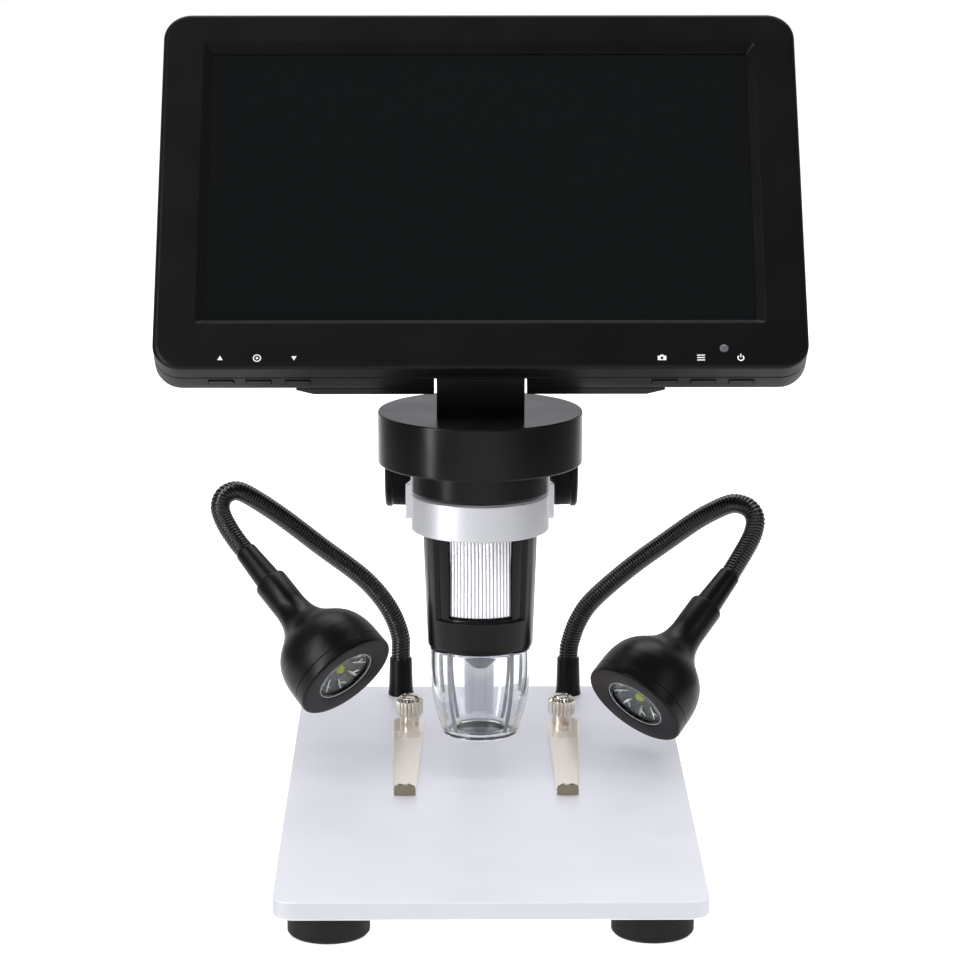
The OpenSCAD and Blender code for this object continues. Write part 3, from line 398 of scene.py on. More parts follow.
print("stage: materials made")


# The stand.

plate = {"width": 115, "length": 212, "under": 8, "top": 13, "corner": 6, "shift": 2, "edge": 0.35}
foot = {"diameter": 22, "height": 8, "inset": 3.5, "pocket": 4, "pocketDepth": 4.5}


# round rectangles stacked up: full size but for a chamfer at the lower and a rounder one at the upper
# edge
def makePlate():
    e = plate["edge"]
    w, l, r = plate["width"], plate["length"], plate["corner"]
    layers = [(w - 2 * e, l - 2 * e, r - e, plate["under"]), (w, l, r, plate["under"] + e),
              (w, l, r, plate["top"] - e),
              (w - 0.6 * e, l - 0.6 * e, r - 0.3 * e, plate["top"] - 0.3 * e),
              (w - 2 * e, l - 2 * e, r - e, plate["top"])]
    return layered([(a, b, c, z, plate["shift"], 0) for a, b, c, z in layers], perCorner=12)


plateBody = newPiece("plate_body", *makePlate(), satinAluminium, "base", ["base_plate"])
# the cut edge takes the duller copy, darker as painted shade
plateBody.data.materials.append(plateEdgeShade)
for face in plateBody.data.polygons:
    face.material_index = 1 if abs(face.normal.z) < 0.3 else 0
evenNormals(plateBody)


# centres of the four feet, the same inset from both edges at each corner
def feetPlaces():
    x = plate["width"] / 2 - foot["inset"] - foot["diameter"] / 2
    y = plate["length"] / 2 - foot["inset"] - foot["diameter"] / 2
    return [(plate["shift"] + sx * x, sy * y) for sx in (-1, 1) for sy in (-1, 1)]


# one turned profile with a pocket for its screw, repeated under each corner
def makeFeet():
    r, h, p = foot["diameter"] / 2, foot["height"], foot["pocket"]
    profile = rounded([(p, 0, 0.4), (r - 0.8, 0, 0.5), (r, 0.9, 0.6), (r, h, 0.3), (1.7, h, 0),
                       (1.7, foot["pocketDepth"], 0), (p, foot["pocketDepth"], 0)], closed=True, steps=3)
    return joined(*[turned(profile, (x, y, 0), around=72) for x, y in feetPlaces()])


newPiece("feet_body", *makeFeet(), mouldedRubber, "base", ["rubber_feet"])
for node, material, width in (("foot_screws", zincSteel, 0.15), ("post", extrudedPost, 0.25),
                              ("rack", zincSteel, 0), ("post_bolt", zincSteel, 0.15),
                              ("post_cap", mouldedAbs, 0.4), ("lamp_nuts", zincSteel, 0.15)):
    softened(node, material, "base", width)
print("stage: stand made")

# The carriage.

softened("carriage_bracket", blastedRing, "carriage", 0.35, 3)
softened("drag_screw", mouldedAbs, "carriage", 0.25)
softened("drag_pad", naturalNylon, "carriage", 0.1)
softened("shaft_bushes", sinteredBronze, "carriage", 0.1)
softened("pinion_shaft", zincSteel, "focus_drive", 0)

knob = {"radius": 12, "length": 7.6, "start": 21.65, "shift": 0.75, "grip": 5.17, "axisY": 71,
        "axisZ": 91.9, "ribs": 96, "ribHeight": 0.3}


# the grip's radius waves round the knob: a rib every turn/ribs, flat-topped, none on the smooth rim
def knobShape(side):
    r, length, gripLength = knob["radius"], knob["length"], knob["grip"]
    grip = r - 0.45
    profile = rounded([(2.55, -3.6, 0), (5, -3.6, 0.3), (5, 0, 0.2), (grip - 1.0, 0, 0.3),
                       (grip, 0.7, 0.3), (grip, gripLength, 0.15), (r, gripLength + 0.35, 0.25),
                       (r, length - 0.7, 0.5), (r - 0.9, length - 0.15, 0.4), (r - 3.4, length, 0.3),
                       (r - 3.8, length - 0.5, 0.3), (4, length - 0.5, 0.2), (3.6, length, 0.2),
                       (0, length, 0), (0, -0.4, 0), (2.55, -0.4, 0)], closed=True, steps=4)

    def ribs(turn, radius, height):
        onGrip = (np.clip((height - 0.5) / 0.3, 0, 1) * np.clip((gripLength - 0.1 - height) / 0.2, 0, 1)
                  * (radius > grip - 0.6))
        wave = np.clip(1.6 * np.cos(knob["ribs"] * turn), -1, 1) * 0.5 + 0.5
        return radius + onGrip * knob["ribHeight"] * (wave - 0.5)

    return turned(profile, (knob["shift"] + side * knob["start"], knob["axisY"], knob["axisZ"]),
                  (side, 0, 0), around=knob["ribs"] * 6, ripple=ribs)


newPiece("knob_left", *knobShape(-1), mouldedAbs, "focus_drive", ["focus_knob_left"])
newPiece("knob_right", *knobShape(1), mouldedAbs, "focus_drive", ["focus_knob_right"])
print("stage: carriage made")

# The camera head.

head = {"y": 10, "discRadius": 29.3, "discTop": 121.35, "discBottom": 106.45, "neckRadius": 20,
        "neckBottom": 97.45, "innerRadius": 16.5, "flangeZ": 88.75, "seam": 0.12}


# half of the round housing, with its cut faces on the seam across the top
def headHalf(side):
    h = head
    profile = rounded([(0, h["discTop"], 0), (h["discRadius"], h["discTop"], 0.45),
                       (h["discRadius"], h["discBottom"], 0.5), (h["neckRadius"], h["discBottom"], 0.25),
                       (h["neckRadius"], h["neckBottom"], 1.1), (h["innerRadius"], h["neckBottom"], 0),
                       (h["innerRadius"], h["flangeZ"], 0), (10.5, h["flangeZ"], 0),
                       (10.5, h["flangeZ"] + 2, 0), (h["innerRadius"] - 2, h["flangeZ"] + 2, 0),
                       (h["innerRadius"] - 2, h["discBottom"] + 2, 0),
                       (h["discRadius"] - 2, h["discBottom"] + 2, 0),
                       (h["discRadius"] - 2, h["discTop"] - 2, 0), (0, h["discTop"] - 2, 0)], closed=True,
                      steps=5)
    u = axesAlong((0, 0, 1))[0]
    start = (math.pi if side < 0 else 0) - math.atan2(u[1], u[0])
    return turned(profile, (0, h["y"] + side * h["seam"] / 2, 0), around=97, arc=(start, start + math.pi))


for side, node, name in ((-1, "head_front_shell", "head_front"), (1, "head_rear_shell", "head_rear")):
    evenNormals(newPiece(name, *headHalf(side), smoothAbs, "carriage", [node]))

softened("sensor_board", solderMask, "carriage", 0)

barrel = {"low": 52.45, "top": 88.6, "lowRadius": 15.2, "topRadius": 16.5, "ringZ": 86.75, "wall": 1.5,
          "windowHalf": 8.7, "flankHalf": 13.2, "windowLow": 62.55, "windowTop": 87.4, "flankDepth": 0.95,
          "flankLow": 61.6, "windowReach": 13.9, "flankReach": 16.0}


# the barrel's skin: radius falls straight from the ring to the lower end, less the flanks' shallow
# pockets front and back; the quads inside the two windows are left out, and Solidify gives the wall
def barrelSkin():
    b = barrel
    edge = 0.12
    half = [math.asin(b["windowHalf"] / b["windowReach"]), math.asin(b["flankHalf"] / b["flankReach"])]
    # extra columns at each edge of the windows and the flanks
    edges = []
    for mid in (-math.pi / 2, math.pi / 2):
        for h in half:
            for s in (-1, 1):
                edges += [mid + s * h, mid + s * (h + edge / b["topRadius"] * 4)]
    angles = np.concatenate([np.linspace(-math.pi, math.pi, 181)[:-1], edges])
    angles = np.unique(np.round(angles % (2 * math.pi), 5))
    lipHeights = b["low"] + np.array([0, 0.05, 0.2, 0.5])
    heights = np.concatenate([lipHeights, np.linspace(b["low"] + 1.5, b["flankLow"] - 0.6, 8),
                              [b["flankLow"], b["flankLow"] + 0.35, b["windowLow"], b["windowLow"] + 0.3],
                              np.linspace(b["windowLow"] + 1.5, b["windowTop"], 16), [b["top"]]])
    lip = np.interp(heights, lipHeights, [0.5, 0.32, 0.1, 0])
    base = np.interp(heights, [b["low"], b["ringZ"]], [b["lowRadius"], b["topRadius"]]) - lip
    turn, z = np.meshgrid(angles, heights)
    radius = np.repeat(base[:, None], len(angles), 1)
    across = np.abs(np.cos(turn)) * b["topRadius"]
    pocket = (np.clip((b["flankHalf"] + 0.25 - across) / 0.4, 0, 1)
              * np.clip((z - b["flankLow"]) / 0.35, 0, 1))
    radius = radius - b["flankDepth"] * pocket
    grid = np.stack([radius * np.cos(turn), head["y"] + radius * np.sin(turn), z], -1)
    rows, cols = z.shape
    faces = np.array(gridFaces(rows, cols))
    x, y, up = grid.reshape(-1, 3)[faces].mean(1).T
    turnFrom = np.abs(np.abs(np.arctan2(y - head["y"], x)) - math.pi / 2)
    inWindow = (turnFrom < half[0]) & (up > b["windowLow"]) & (up < b["windowTop"])
    return grid.reshape(-1, 3), faces[~inWindow].tolist()


skin = newPiece("barrel_skin", *barrelSkin(), smoothAbs, "carriage", ["barrel_shell"], sharpDegrees=28)
addModifier(skin, "SOLIDIFY", thickness=barrel["wall"] * mm, offset=-1, use_even_offset=True)


# a profile turned about the head's own axis
def onHead(profile, around=96, closed=True, **more):
    return turned(profile, (0, head["y"], 0), around=around, closed=closed, **more)


# floor of the barrel and the spigot that the cap pushes onto
spigot = {"floor": 53.4, "floorTop": 54.4, "hole": 8.4, "inner": 11.7, "outer": 12.95, "low": 52.25}
outside = barrel["lowRadius"]
spigotProfile = rounded([(outside - 1.4, spigot["floor"], 0), (spigot["hole"], spigot["floor"], 0),
                         (spigot["hole"], spigot["floorTop"], 0),
                         (spigot["inner"], spigot["floorTop"], 0.2),
                         (spigot["inner"], spigot["low"], 0.1), (spigot["outer"], spigot["low"], 0.1),
                         (spigot["outer"], barrel["low"], 0), (outside - 0.6, barrel["low"], 0.1)],
                        closed=True, steps=3)
newPiece("barrel_spigot", *onHead(spigotProfile), smoothAbs, "carriage")

wheel = {"radius": 13.9, "low": 62.95, "top": 85.85, "bore": 10.5, "ribs": 80, "ribHeight": 0.6,
         "flatness": 0.32}


# ribs stand all round the wheel, rounded on top, and fade over its rounded ends
def wheelShape():
    w = wheel
    profile = rounded([(w["bore"], w["low"], 0), (w["radius"], w["low"], 0.4),
                       (w["radius"], w["top"], 0.4), (w["bore"], w["top"], 0)], closed=True, steps=7)

    def ribs(turn, radius, height):
        outer = np.clip((radius - w["radius"] + 1.2) / 1.2, 0, 1)
        wave = np.abs(np.cos(w["ribs"] * turn / 2)) ** w["flatness"]
        return radius - outer * w["ribHeight"] * (1 - wave)

    return onHead(profile, around=w["ribs"] * 10, ripple=ribs)


newPiece("wheel_ribbed", *wheelShape(), silverWheel, "wheel", ["magnification_wheel"])
softened("lens_cell", mouldedAbs, "lens_carrier", 0.15)
softened("objective_lens", opticalGlass, "lens_carrier", 0)

cap = {"top": 52.3, "low": 25.7, "topRadius": 14.55, "footRadius": 10.6, "wall": 1.2, "footHole": 7.2,
       "floor": 0.5, "floorThick": 0.8, "collar": 1.5, "ribAt": 41, "ribWidth": 1.2, "ribDepth": 0.5,
       "ribTaper": 0.6, "ribFoot": 2.2, "ribHead": 0.6, "drawn": 0.8, "drawnPower": 2.1, "notches": 12,
       "notchWidth": 2.0, "notchHeight": 0.35}


# outside of the cap: straight, then drawn in to its foot by a power of the distance below the bend
def capRadius(z):
    c = cap
    drawn = c["drawn"] * (c["top"] - c["low"])
    t = np.clip((c["low"] + drawn - z) / drawn, 0, 1)
    return c["footRadius"] + (c["topRadius"] - c["footRadius"]) * (1 - t ** c["drawnPower"])


# the wall follows capRadius inside and out; a floor stands a little above the rim, with a short collar
# round its hole
def capShape():
    c = cap
    low, floor, hole = c["low"], c["low"] + c["floor"], c["footHole"]
    z = np.linspace(low + 0.3, c["top"] - 0.2, 34)
    outer = np.stack([capRadius(z), z], 1)
    zi = np.linspace(c["top"] - 0.2, floor + c["floorThick"] + 0.3, 28)
    inner = np.stack([capRadius(zi) - c["wall"], zi], 1)
    ends = [[c["topRadius"] - 0.2, c["top"]], [c["topRadius"] - c["wall"] + 0.2, c["top"]]]
    rimInside = c["footRadius"] - c["wall"]
    base = [[capRadius(floor) - c["wall"] - 0.3, floor + c["floorThick"]],
            [hole + 0.8, floor + c["floorThick"]], [hole + 0.8, floor + c["collar"]],
            [hole + 0.1, floor + c["collar"]], [hole, floor + c["collar"] - 0.1], [hole, floor + 0.1],
            [hole + 0.1, floor], [rimInside - 0.1, floor], [rimInside, floor - 0.1],
            [rimInside, low + 0.2], [rimInside + 0.2, low], [c["footRadius"] - 0.3, low]]
    profile = np.concatenate([outer, ends, inner, base])

    steps = c["notches"] * 16
    angles = np.arange(steps) * 2 * math.pi / steps
    points, faces = onHead(profile, angles=angles)
    # the rim is drawn up where a notch is, so that its lower edge steps round the foot
    half = math.asin(c["notchWidth"] / 2 / c["footRadius"])
    turn = np.arctan2(points[:, 1] - head["y"], points[:, 0])
    gap = 2 * math.pi / c["notches"]
    offset = np.abs((turn + gap / 2) % gap - gap / 2)
    reach = np.hypot(points[:, 0], points[:, 1] - head["y"])
    lift = np.where((offset < half + 0.03) & (reach > rimInside - 0.15), low + c["notchHeight"], low)
    points[:, 2] = np.where(reach > rimInside - 0.15, np.maximum(points[:, 2], lift), points[:, 2])
    return points, faces


newPiece("cap_clear", *capShape(), clearAcrylic, "cap", ["clear_cap"], sharpDegrees=50)


# thin upright ribs on the inside of the cap's wall: four corners, carried up the wall's own curve
def capRibs():
    c = cap
    z = np.linspace(c["low"] + c["ribFoot"], c["top"] - c["ribHead"], 18)
    wallInside = capRadius(z) - c["wall"] + 0.05
    out = wallInside[:, None] - np.array([0, 1, 1, 0]) * c["ribDepth"]
    across = np.array([1, c["ribTaper"], -c["ribTaper"], -1]) * c["ribWidth"] / 2
    ends = [[0, 1, 2, 3], [(len(z) - 1) * 4 + i for i in (3, 2, 1, 0)]]
    shapes = []
    for a in (c["ribAt"], 180 - c["ribAt"], 180 + c["ribAt"], -c["ribAt"]):
        angle = math.radians(a - 90)
        grid = np.stack([out * math.cos(angle) - across * math.sin(angle),
                         head["y"] + out * math.sin(angle) + across * math.cos(angle),
                         np.repeat(z[:, None], 4, 1)], -1)
        shapes.append((grid.reshape(-1, 3), gridFaces(len(z), 4) + ends))
    return joined(*shapes)


# the ribs' opaque grey is painted shade
newPiece("cap_ribs", *capRibs(), ribEdgeShade, "cap", sharpDegrees=50)

# dark stop ring in the floor's hole, the teeth on its lower edge, the foot's frosted rim and its window
stop = {"outer": 7.4, "inner": 7.1, "low": 25.5, "high": 27.1, "teeth": 8, "toothWidth": 1.3,
        "toothHeight": 0.9, "firstTooth": -78, "rimInner": 10.2, "rimOuter": 10.7, "rimHigh": 26.25,
        "paneLow": 25.75, "paneHigh": 26.5}
stopProfile = rounded([(stop["outer"], stop["low"], 0.1), (stop["outer"], stop["high"], 0.15),
                       (stop["inner"], stop["high"], 0.15), (stop["inner"], stop["low"], 0.1)],
                      closed=True, steps=2)
newPiece("cap_stop", *onHead(stopProfile), darkStop, "cap")


# pale teeth: flat boxes just outside the ring, evenly round it
def stopTeeth():
    shapes = []
    t = stop
    for k in range(t["teeth"]):
        angle = math.radians(t["firstTooth"] + k * 360 / t["teeth"])
        out = np.array([math.cos(angle), math.sin(angle)])
        across = np.array([-out[1], out[0]])
        near, far = out * (t["outer"] - 0.1), out * (t["outer"] + 0.12)
        half = across * t["toothWidth"] / 2
        flat = np.array([near - half, far - half, far + half, near + half]) + [0, head["y"]]
        grid = np.array([np.column_stack([flat, np.full(4, z)])
                         for z in (t["low"] - 0.02, t["low"] + t["toothHeight"])])
        shapes.append((grid.reshape(-1, 3), gridFaces(2, 4) + [[3, 2, 1, 0], [4, 5, 6, 7]]))
    return joined(*shapes)


newPiece("cap_teeth", *stopTeeth(), frostedRim, "cap")
rimProfile = rounded([(stop["rimInner"], cap["low"], 0.15), (stop["rimOuter"], cap["low"], 0.25),
                      (stop["rimOuter"], stop["rimHigh"], 0.2),
                      (stop["rimInner"], stop["rimHigh"] - 0.2, 0.1)], closed=True, steps=3)
windowProfile = rounded([(0, stop["paneLow"], 0), (stop["inner"] - 0.03, stop["paneLow"], 0.1),
                         (stop["inner"] - 0.03, stop["paneHigh"], 0.1), (0, stop["paneHigh"], 0)],
                        steps=2)
# the window's dark tint is painted reflection
newPiece("cap_window", *onHead(windowProfile, 64, False), footWindowMirrorTint, "cap")

# the lens nose: a short tube that closes to a blunt cone round the lens
nose = {"top": 53.3, "bore": 4.8, "outer": 6.6, "shoulder": 49.8, "tip": 45.2, "tipRadius": 2.4,
        "tipBore": 1.7}
noseProfile = rounded([(nose["bore"], nose["top"], 0), (nose["outer"], nose["top"], 0.1),
                       (nose["outer"], nose["shoulder"], 0.4),
                       (nose["tipRadius"], nose["tip"] + 0.4, 0.6), (nose["tipBore"], nose["tip"], 0.2),
                       (nose["tipBore"], nose["tip"] + 1.2, 0.1),
                       (nose["bore"], nose["shoulder"] + 0.4, 0.3)], closed=True, steps=4)
newPiece("lens_nose", *onHead(noseProfile), greyPlastic, "carriage", ["led_ring"])
newPiece("cap_rim", *onHead(rimProfile), frostedRim, "cap")
print("stage: camera head made")

# The hinge.

softened("hinge_bracket", mouldedAbs, "carriage", 0.35, 3)
softened("hinge_pin", zincSteel, "carriage", 0.1)

# The screen.

screen = {"y": -6, "z": 150.95, "lean": 37.4, "width": 183.7, "height": 116, "radius": 8, "chin": 15.7,
          "seam": -6.5, "window": (155.5, 87.5), "edge": 1.6, "bevel": 2.2, "bevelTop": 3.0,
          "bevelDepth": 1.9}
lean = math.radians(screen["lean"])
screenMatrix = np.array([[1, 0, 0], [0, math.sin(lean), -math.cos(lean)],
                         [0, math.cos(lean), math.sin(lean)]])


# from the screen's own axes (across, up the face, out of it) to the frame
def fromScreen(points):
    return np.asarray(points, float) @ screenMatrix.T + np.array([0, screen["y"], screen["z"]])


# loops from the seam over a quarter-round edge, in across the face, down the bevel round the window and
# back out behind it; along the edge the height goes by the sine and the inset by one less the cosine
def screenFront():
    s = screen
    mid = s["height"] / 2 - s["chin"]
    w, h, r = s["width"], s["height"], s["radius"]
    ww, wh = s["window"]
    e = s["edge"]
    outer = [(w - 4, h - 4, r - 2, s["seam"] + 0.05, 0, mid),
             (w - 0.5, h - 0.5, r - 0.25, s["seam"] + 0.05, 0, mid), (w, h, r, s["seam"] + 0.3, 0, mid)]
    for k in range(9):
        a = math.pi / 2 * k / 8
        inset = e * (1 - math.cos(a))
        outer.append((w - 2 * inset, h - 2 * inset, r - inset, -e + e * math.sin(a), 0, mid))
    bw, bh = ww + 2 * s["bevel"], wh + s["bevel"] * 0.75 + s["bevelTop"]
    by = wh / 2 + (s["bevelTop"] - s["bevel"] * 0.75) / 2
    inner = [(bw + 0.5, bh + 0.5, 1.2, 0, 0, by), (bw, bh, 1.0, -0.12, 0, by),
             (ww + 0.5, wh + 0.5, 0.5, -s["bevelDepth"] + 0.15, 0, wh / 2),
             (ww, wh, 0.3, -s["bevelDepth"], 0, wh / 2),
             (ww, wh, 0.3, -s["bevelDepth"] - 0.35, 0, wh / 2),
             (w - 4, h - 4, r - 2, -s["bevelDepth"] - 0.35, 0, mid)]
    return layered(outer + inner, closed=True, perCorner=14, toWorld=fromScreen)


evenNormals(newPiece("screen_bezel", *screenFront(), mouldedAbs, "screen", ["screen_front"],
                     sharpDegrees=30))
softened("screen_back", mouldedAbs, "screen", 0.2, 2, 32)


# flat box behind the window
def displayShape():
    ww, wh = screen["window"]
    z = -screen["bevelDepth"] - 0.4
    layers = [(ww + 8, wh + 7.5, 0.5, z - 3, 0, wh / 2), (ww + 8, wh + 7.5, 0.5, z, 0, wh / 2)]
    return layered(layers, perCorner=3, toWorld=fromScreen)


newPiece("display", *displayShape(), displayGlass, "screen", ["lcd_panel"])
softened("main_board", solderMask, "screen", 0)
softened("battery", foilPouch, "screen", 0.3)
softened("back_screws", zincSteel, "screen", 0.1)
softened("remote_sensor", greyPlastic, "screen", 0)
for key in ("up", "select", "down", "photo", "menu", "power"):
    softened("button_" + key, mouldedAbs, "button_" + key, 0.25, 3, name="key_" + key)


# where each key's printed sign stands along the row, and how far it is lifted off the face
keyMarks = {"y": -12.8, "lift": 0.02, "up": -72.7, "select": -62.4, "down": -52.1, "photo": 50.5,
            "menu": 61.4, "power": 72.5}


# one printed shape: an outline in screen axes, moved to its place and lifted
def flatShape(outline, x, y):
    outline = np.asarray(outline, float)
    flat = np.column_stack([outline[:, 0] + x, outline[:, 1] + y,
                            np.full(len(outline), keyMarks["lift"])])
    return fromScreen(flat), [list(range(len(outline)))]


# ring or arc between two radii, from one angle to another in degrees
def flatRing(r0, r1, x, y, a0=0.0, a1=360.0, n=40, layer=1):
    a = np.radians(np.linspace(a0, a1, n))
    rim = np.concatenate([np.stack([r * np.cos(a), r * np.sin(a)], 1) for r in (r0, r1)])
    flat = np.column_stack([rim[:, 0] + x, rim[:, 1] + y, np.full(len(rim), keyMarks["lift"] * layer)])
    return fromScreen(flat), [[i, n + i, n + i + 1, i + 1] for i in range(n - 1)]


# corners of an upright rectangle
def flatBox(w, h):
    return [(-w / 2, -h / 2), (w / 2, -h / 2), (w / 2, h / 2), (-w / 2, h / 2)]


# triangles, a target, a camera, three bars and a power sign, one over each key
def printedMarks():
    m, y = keyMarks, keyMarks["y"]
    shapes = [flatShape([(-0.75, -0.6), (0.75, -0.6), (0, 0.75)], m["up"], y),
              flatShape([(0.75, 0.6), (-0.75, 0.6), (0, -0.75)], m["down"], y),
              flatRing(0.85, 1.15, m["select"], y), flatRing(0, 0.35, m["select"], y),
              flatShape(flatBox(2.4, 1.4), m["photo"], y - 0.1),
              flatShape(flatBox(0.9, 0.4), m["photo"], y + 0.75),
              flatRing(0.62, 0.98, m["power"], y - 0.1, 130, 410),
              flatShape(flatBox(0.3, 1.1), m["power"], y + 0.65)]
    shapes += [flatShape(flatBox(2.2, 0.34), m["menu"], y + k * 0.75) for k in (-1, 0, 1)]
    return joined(*shapes)


newPiece("key_symbols", *printedMarks(), printedInk, "screen", recalc=False)
newPiece("photo_symbol_lens", *flatRing(0, 0.42, keyMarks["photo"], keyMarks["y"] - 0.1, layer=2),
         mouldedAbs, "screen", recalc=False)
print("stage: screen made")

# The clips.

clip = {"x": 23.2, "screwY": 59, "bottom": 13.3, "length": 82.4, "tail": 8, "width": 10, "tipWidth": 6.2,
        "thick": 0.6, "tab": 3.9, "tipRound": 1.6, "darkReach": 2.0, "darkFrom": 0.45, "edge": 0.12,
        "offset": {-1: (-0.6, -0.45), 1: (-0.35, 0.7)}}


# the leaf's middle line (along y, up z), rounded at its creases; its width narrows to the tip and
# ends round, by the root of one less a square; offset is how far tip and tail stand to the side
def clipShape(side):
    c = clip
    front = c["tail"] - c["length"]
    line = rounded([(c["tail"], 0.3, 0), (-8, 0.3, 1.2), (-13, 1.7, 2), (-20, 1.9, 6),
                    (front + 7, 0.32, 12), (front + 1.6, 0.32, 1.2), (front + 0.3, c["tab"], 0)], steps=8)
    dense = []
    for a, b in zip(line[:-1], line[1:]):
        n = max(int(np.linalg.norm(b - a) / 0.8), 1)
        dense += [a + (b - a) * k / n for k in range(n)]
    dense = np.array(dense + [line[-1]])
    y = dense[:, 0]
    tailR, tipR = c["width"] / 2, c["tipWidth"] / 2
    half = np.interp(y, [front + tipR, 3], [tipR, tailR])
    half = np.where(y > 3, np.sqrt(np.maximum(tailR ** 2 - (y - 3) ** 2, 0.01)), half)
    run = np.concatenate([[0], np.cumsum(np.linalg.norm(np.diff(dense, axis=0), axis=1))])
    left = np.clip((run[-1] - run) / c["tipRound"], 0, 1)
    half = half * np.sqrt(np.maximum(1 - (1 - left) ** 2, 0.2))
    t = np.linspace(-1, 1, 15)
    x = half[:, None] * t[None, :]
    dish = (0.3 * np.clip((front + 3 - y) / 2, 0, 1))[:, None] * (t[None, :] ** 2)
    drift = np.interp(y, [front, c["tail"]], c["offset"][side])
    grid = np.stack([plate["shift"] + side * c["x"] + drift[:, None] + x,
                     np.repeat(c["screwY"] + y[:, None], 15, 1),
                     c["bottom"] + dense[:, 1][:, None] + dish], -1)
    rows, cols = grid.shape[:2]
    return grid.reshape(-1, 3), gridFaces(rows, cols, closeCols=False)


thumb = {"radius": 4.05, "height": 6.1, "collar": 2.95, "collarHeight": 3, "low": 14.0, "ribs": 20,
         "ribHeight": 0.42, "slot": (10, 1.1, 1.8), "slotTurn": 35}


# turned collar and head; the head's radius dips by a squared wave, a rib every turn/ribs
def thumbShape(side):
    t = thumb
    z = t["low"]
    zc = z + t["collarHeight"]
    profile = rounded([(0, z - 5, 0), (1.5, z - 5, 0.3), (1.5, z, 0), (t["collar"], z, 0.15),
                       (t["collar"], zc, 0), (t["radius"] - 0.5, zc, 0.2), (t["radius"], zc + 0.7, 0.3),
                       (t["radius"], zc + t["height"] - 1.5, 0.4),
                       (t["radius"] - 0.9, zc + t["height"] - 0.5, 0.4),
                       (2.7, zc + t["height"] - 0.5, 0.1), (2.6, zc + t["height"], 0.2),
                       (0, zc + t["height"], 0)], steps=4)

    def ribs(turn, radius, height):
        above, below = height - zc - 0.3, zc + t["height"] - 0.7 - height
        grip = np.clip(above / 0.4, 0, 1) * np.clip(below / 0.5, 0, 1) * (radius > 3.0)
        return radius - grip * t["ribHeight"] * (0.5 - 0.5 * np.cos(t["ribs"] * turn)) ** 2

    return turned(profile, (plate["shift"] + side * clip["x"], clip["screwY"], 0), around=t["ribs"] * 12,
                  closed=False, ripple=ribs)


# cuts a box out of a piece for good
def cutSlot(piece, centre, size, turnDegrees):
    bpy.ops.mesh.primitive_cube_add(size=1)
    cutter = bpy.context.object
    cutter.matrix_world = (Matrix.Translation(Vector(centre) * mm)
                           @ Matrix.Rotation(math.radians(turnDegrees), 4, "Z")
                           @ Matrix.Diagonal((*[s * mm for s in size], 1)))
    cut = addModifier(piece, "BOOLEAN", operation="DIFFERENCE", object=cutter, solver="EXACT")
    bpy.context.view_layer.update()
    made = bpy.data.meshes.new_from_object(piece.evaluated_get(bpy.context.evaluated_depsgraph_get()))
    piece.modifiers.remove(cut)
    piece.data = made
    bpy.data.objects.remove(cutter, do_unlink=True)
    made.set_sharp_from_angle(angle=math.radians(32))


for side, word in ((-1, "left"), (1, "right")):
    leaf = newPiece("leaf_" + word, *clipShape(side), nickelPlate, "clip_" + word, ["clip_" + word],
                    recalc=False)
    # the turned-up end takes the copy of the plating with painted shade
    leaf.data.materials.append(nickelTabShade)
    endY = (clip["screwY"] + clip["tail"] - clip["length"] + clip["darkReach"]) * mm
    endZ = (clip["bottom"] + clip["darkFrom"]) * mm
    for face in leaf.data.polygons:
        face.material_index = 1 if face.center.y < endY and face.center.z > endZ else 0
    addModifier(leaf, "SOLIDIFY", thickness=clip["thick"] * mm, offset=0)
    addModifier(leaf, "BEVEL", width=clip["edge"] * mm, segments=2, limit_method="ANGLE",
                angle_limit=math.radians(50))
    screw = newPiece("screw_" + word, *thumbShape(side), nickelTurned, "thumbscrew_" + word,
                     ["thumbscrew_" + word])
    slotZ = thumb["low"] + thumb["collarHeight"] + thumb["height"]
    cutSlot(screw, (plate["shift"] + side * clip["x"], clip["screwY"], slotZ), thumb["slot"],
            side * thumb["slotTurn"])
print("stage: clips made")

# The lamps.

lamp = {"gooseRadius": 3.02, "wire": 1.0, "wireDepth": 0.3, "sides": 32, "perTurn": 10, "start": 7.3,
        "knee": 38, "wristBack": 9, "bendLength": 11, "connectorRadius": 3.35, "connector": 13.1,
        "collarRadius": 5.15, "collar": 11, "bell": 25.5, "radius": 15.9, "lens": 9.0, "face": 53.3,
        "bowlFloor": 2.2, "bowlDepth": 5.2, "bowlTop": 2.2, "bowlPower": 0.8, "petal": 0.09,
        "chipDepth": 3.4, "ridges": 8,
        # each arm: its two ends along the wall, how far it bends and its half width, in radians
        "ridgeArms": [(0.3, 0.95, 0, 0.077), (0.55, 0.8, 0.28, 0.066)], "ridgeLift": 0.35,
        "ridgeHeight": 0.25,
        # the bell's outside: distance past the collar, and share of the radius
        "flare": [(0, 0.324), (2, 0.337), (4, 0.362), (6, 0.413), (8, 0.496), (10, 0.619), (12, 0.757),
                  (14, 0.857), (16, 0.918), (19, 0.972), (22, 0.994), (25.5, 0.997)]}
sleeve = {"x": 26.4, "y": 96.4, "low": 13.05, "height": 12, "radius": 3.8, "top": 3.5, "bore": 3.12,
          "flange": 3.95}
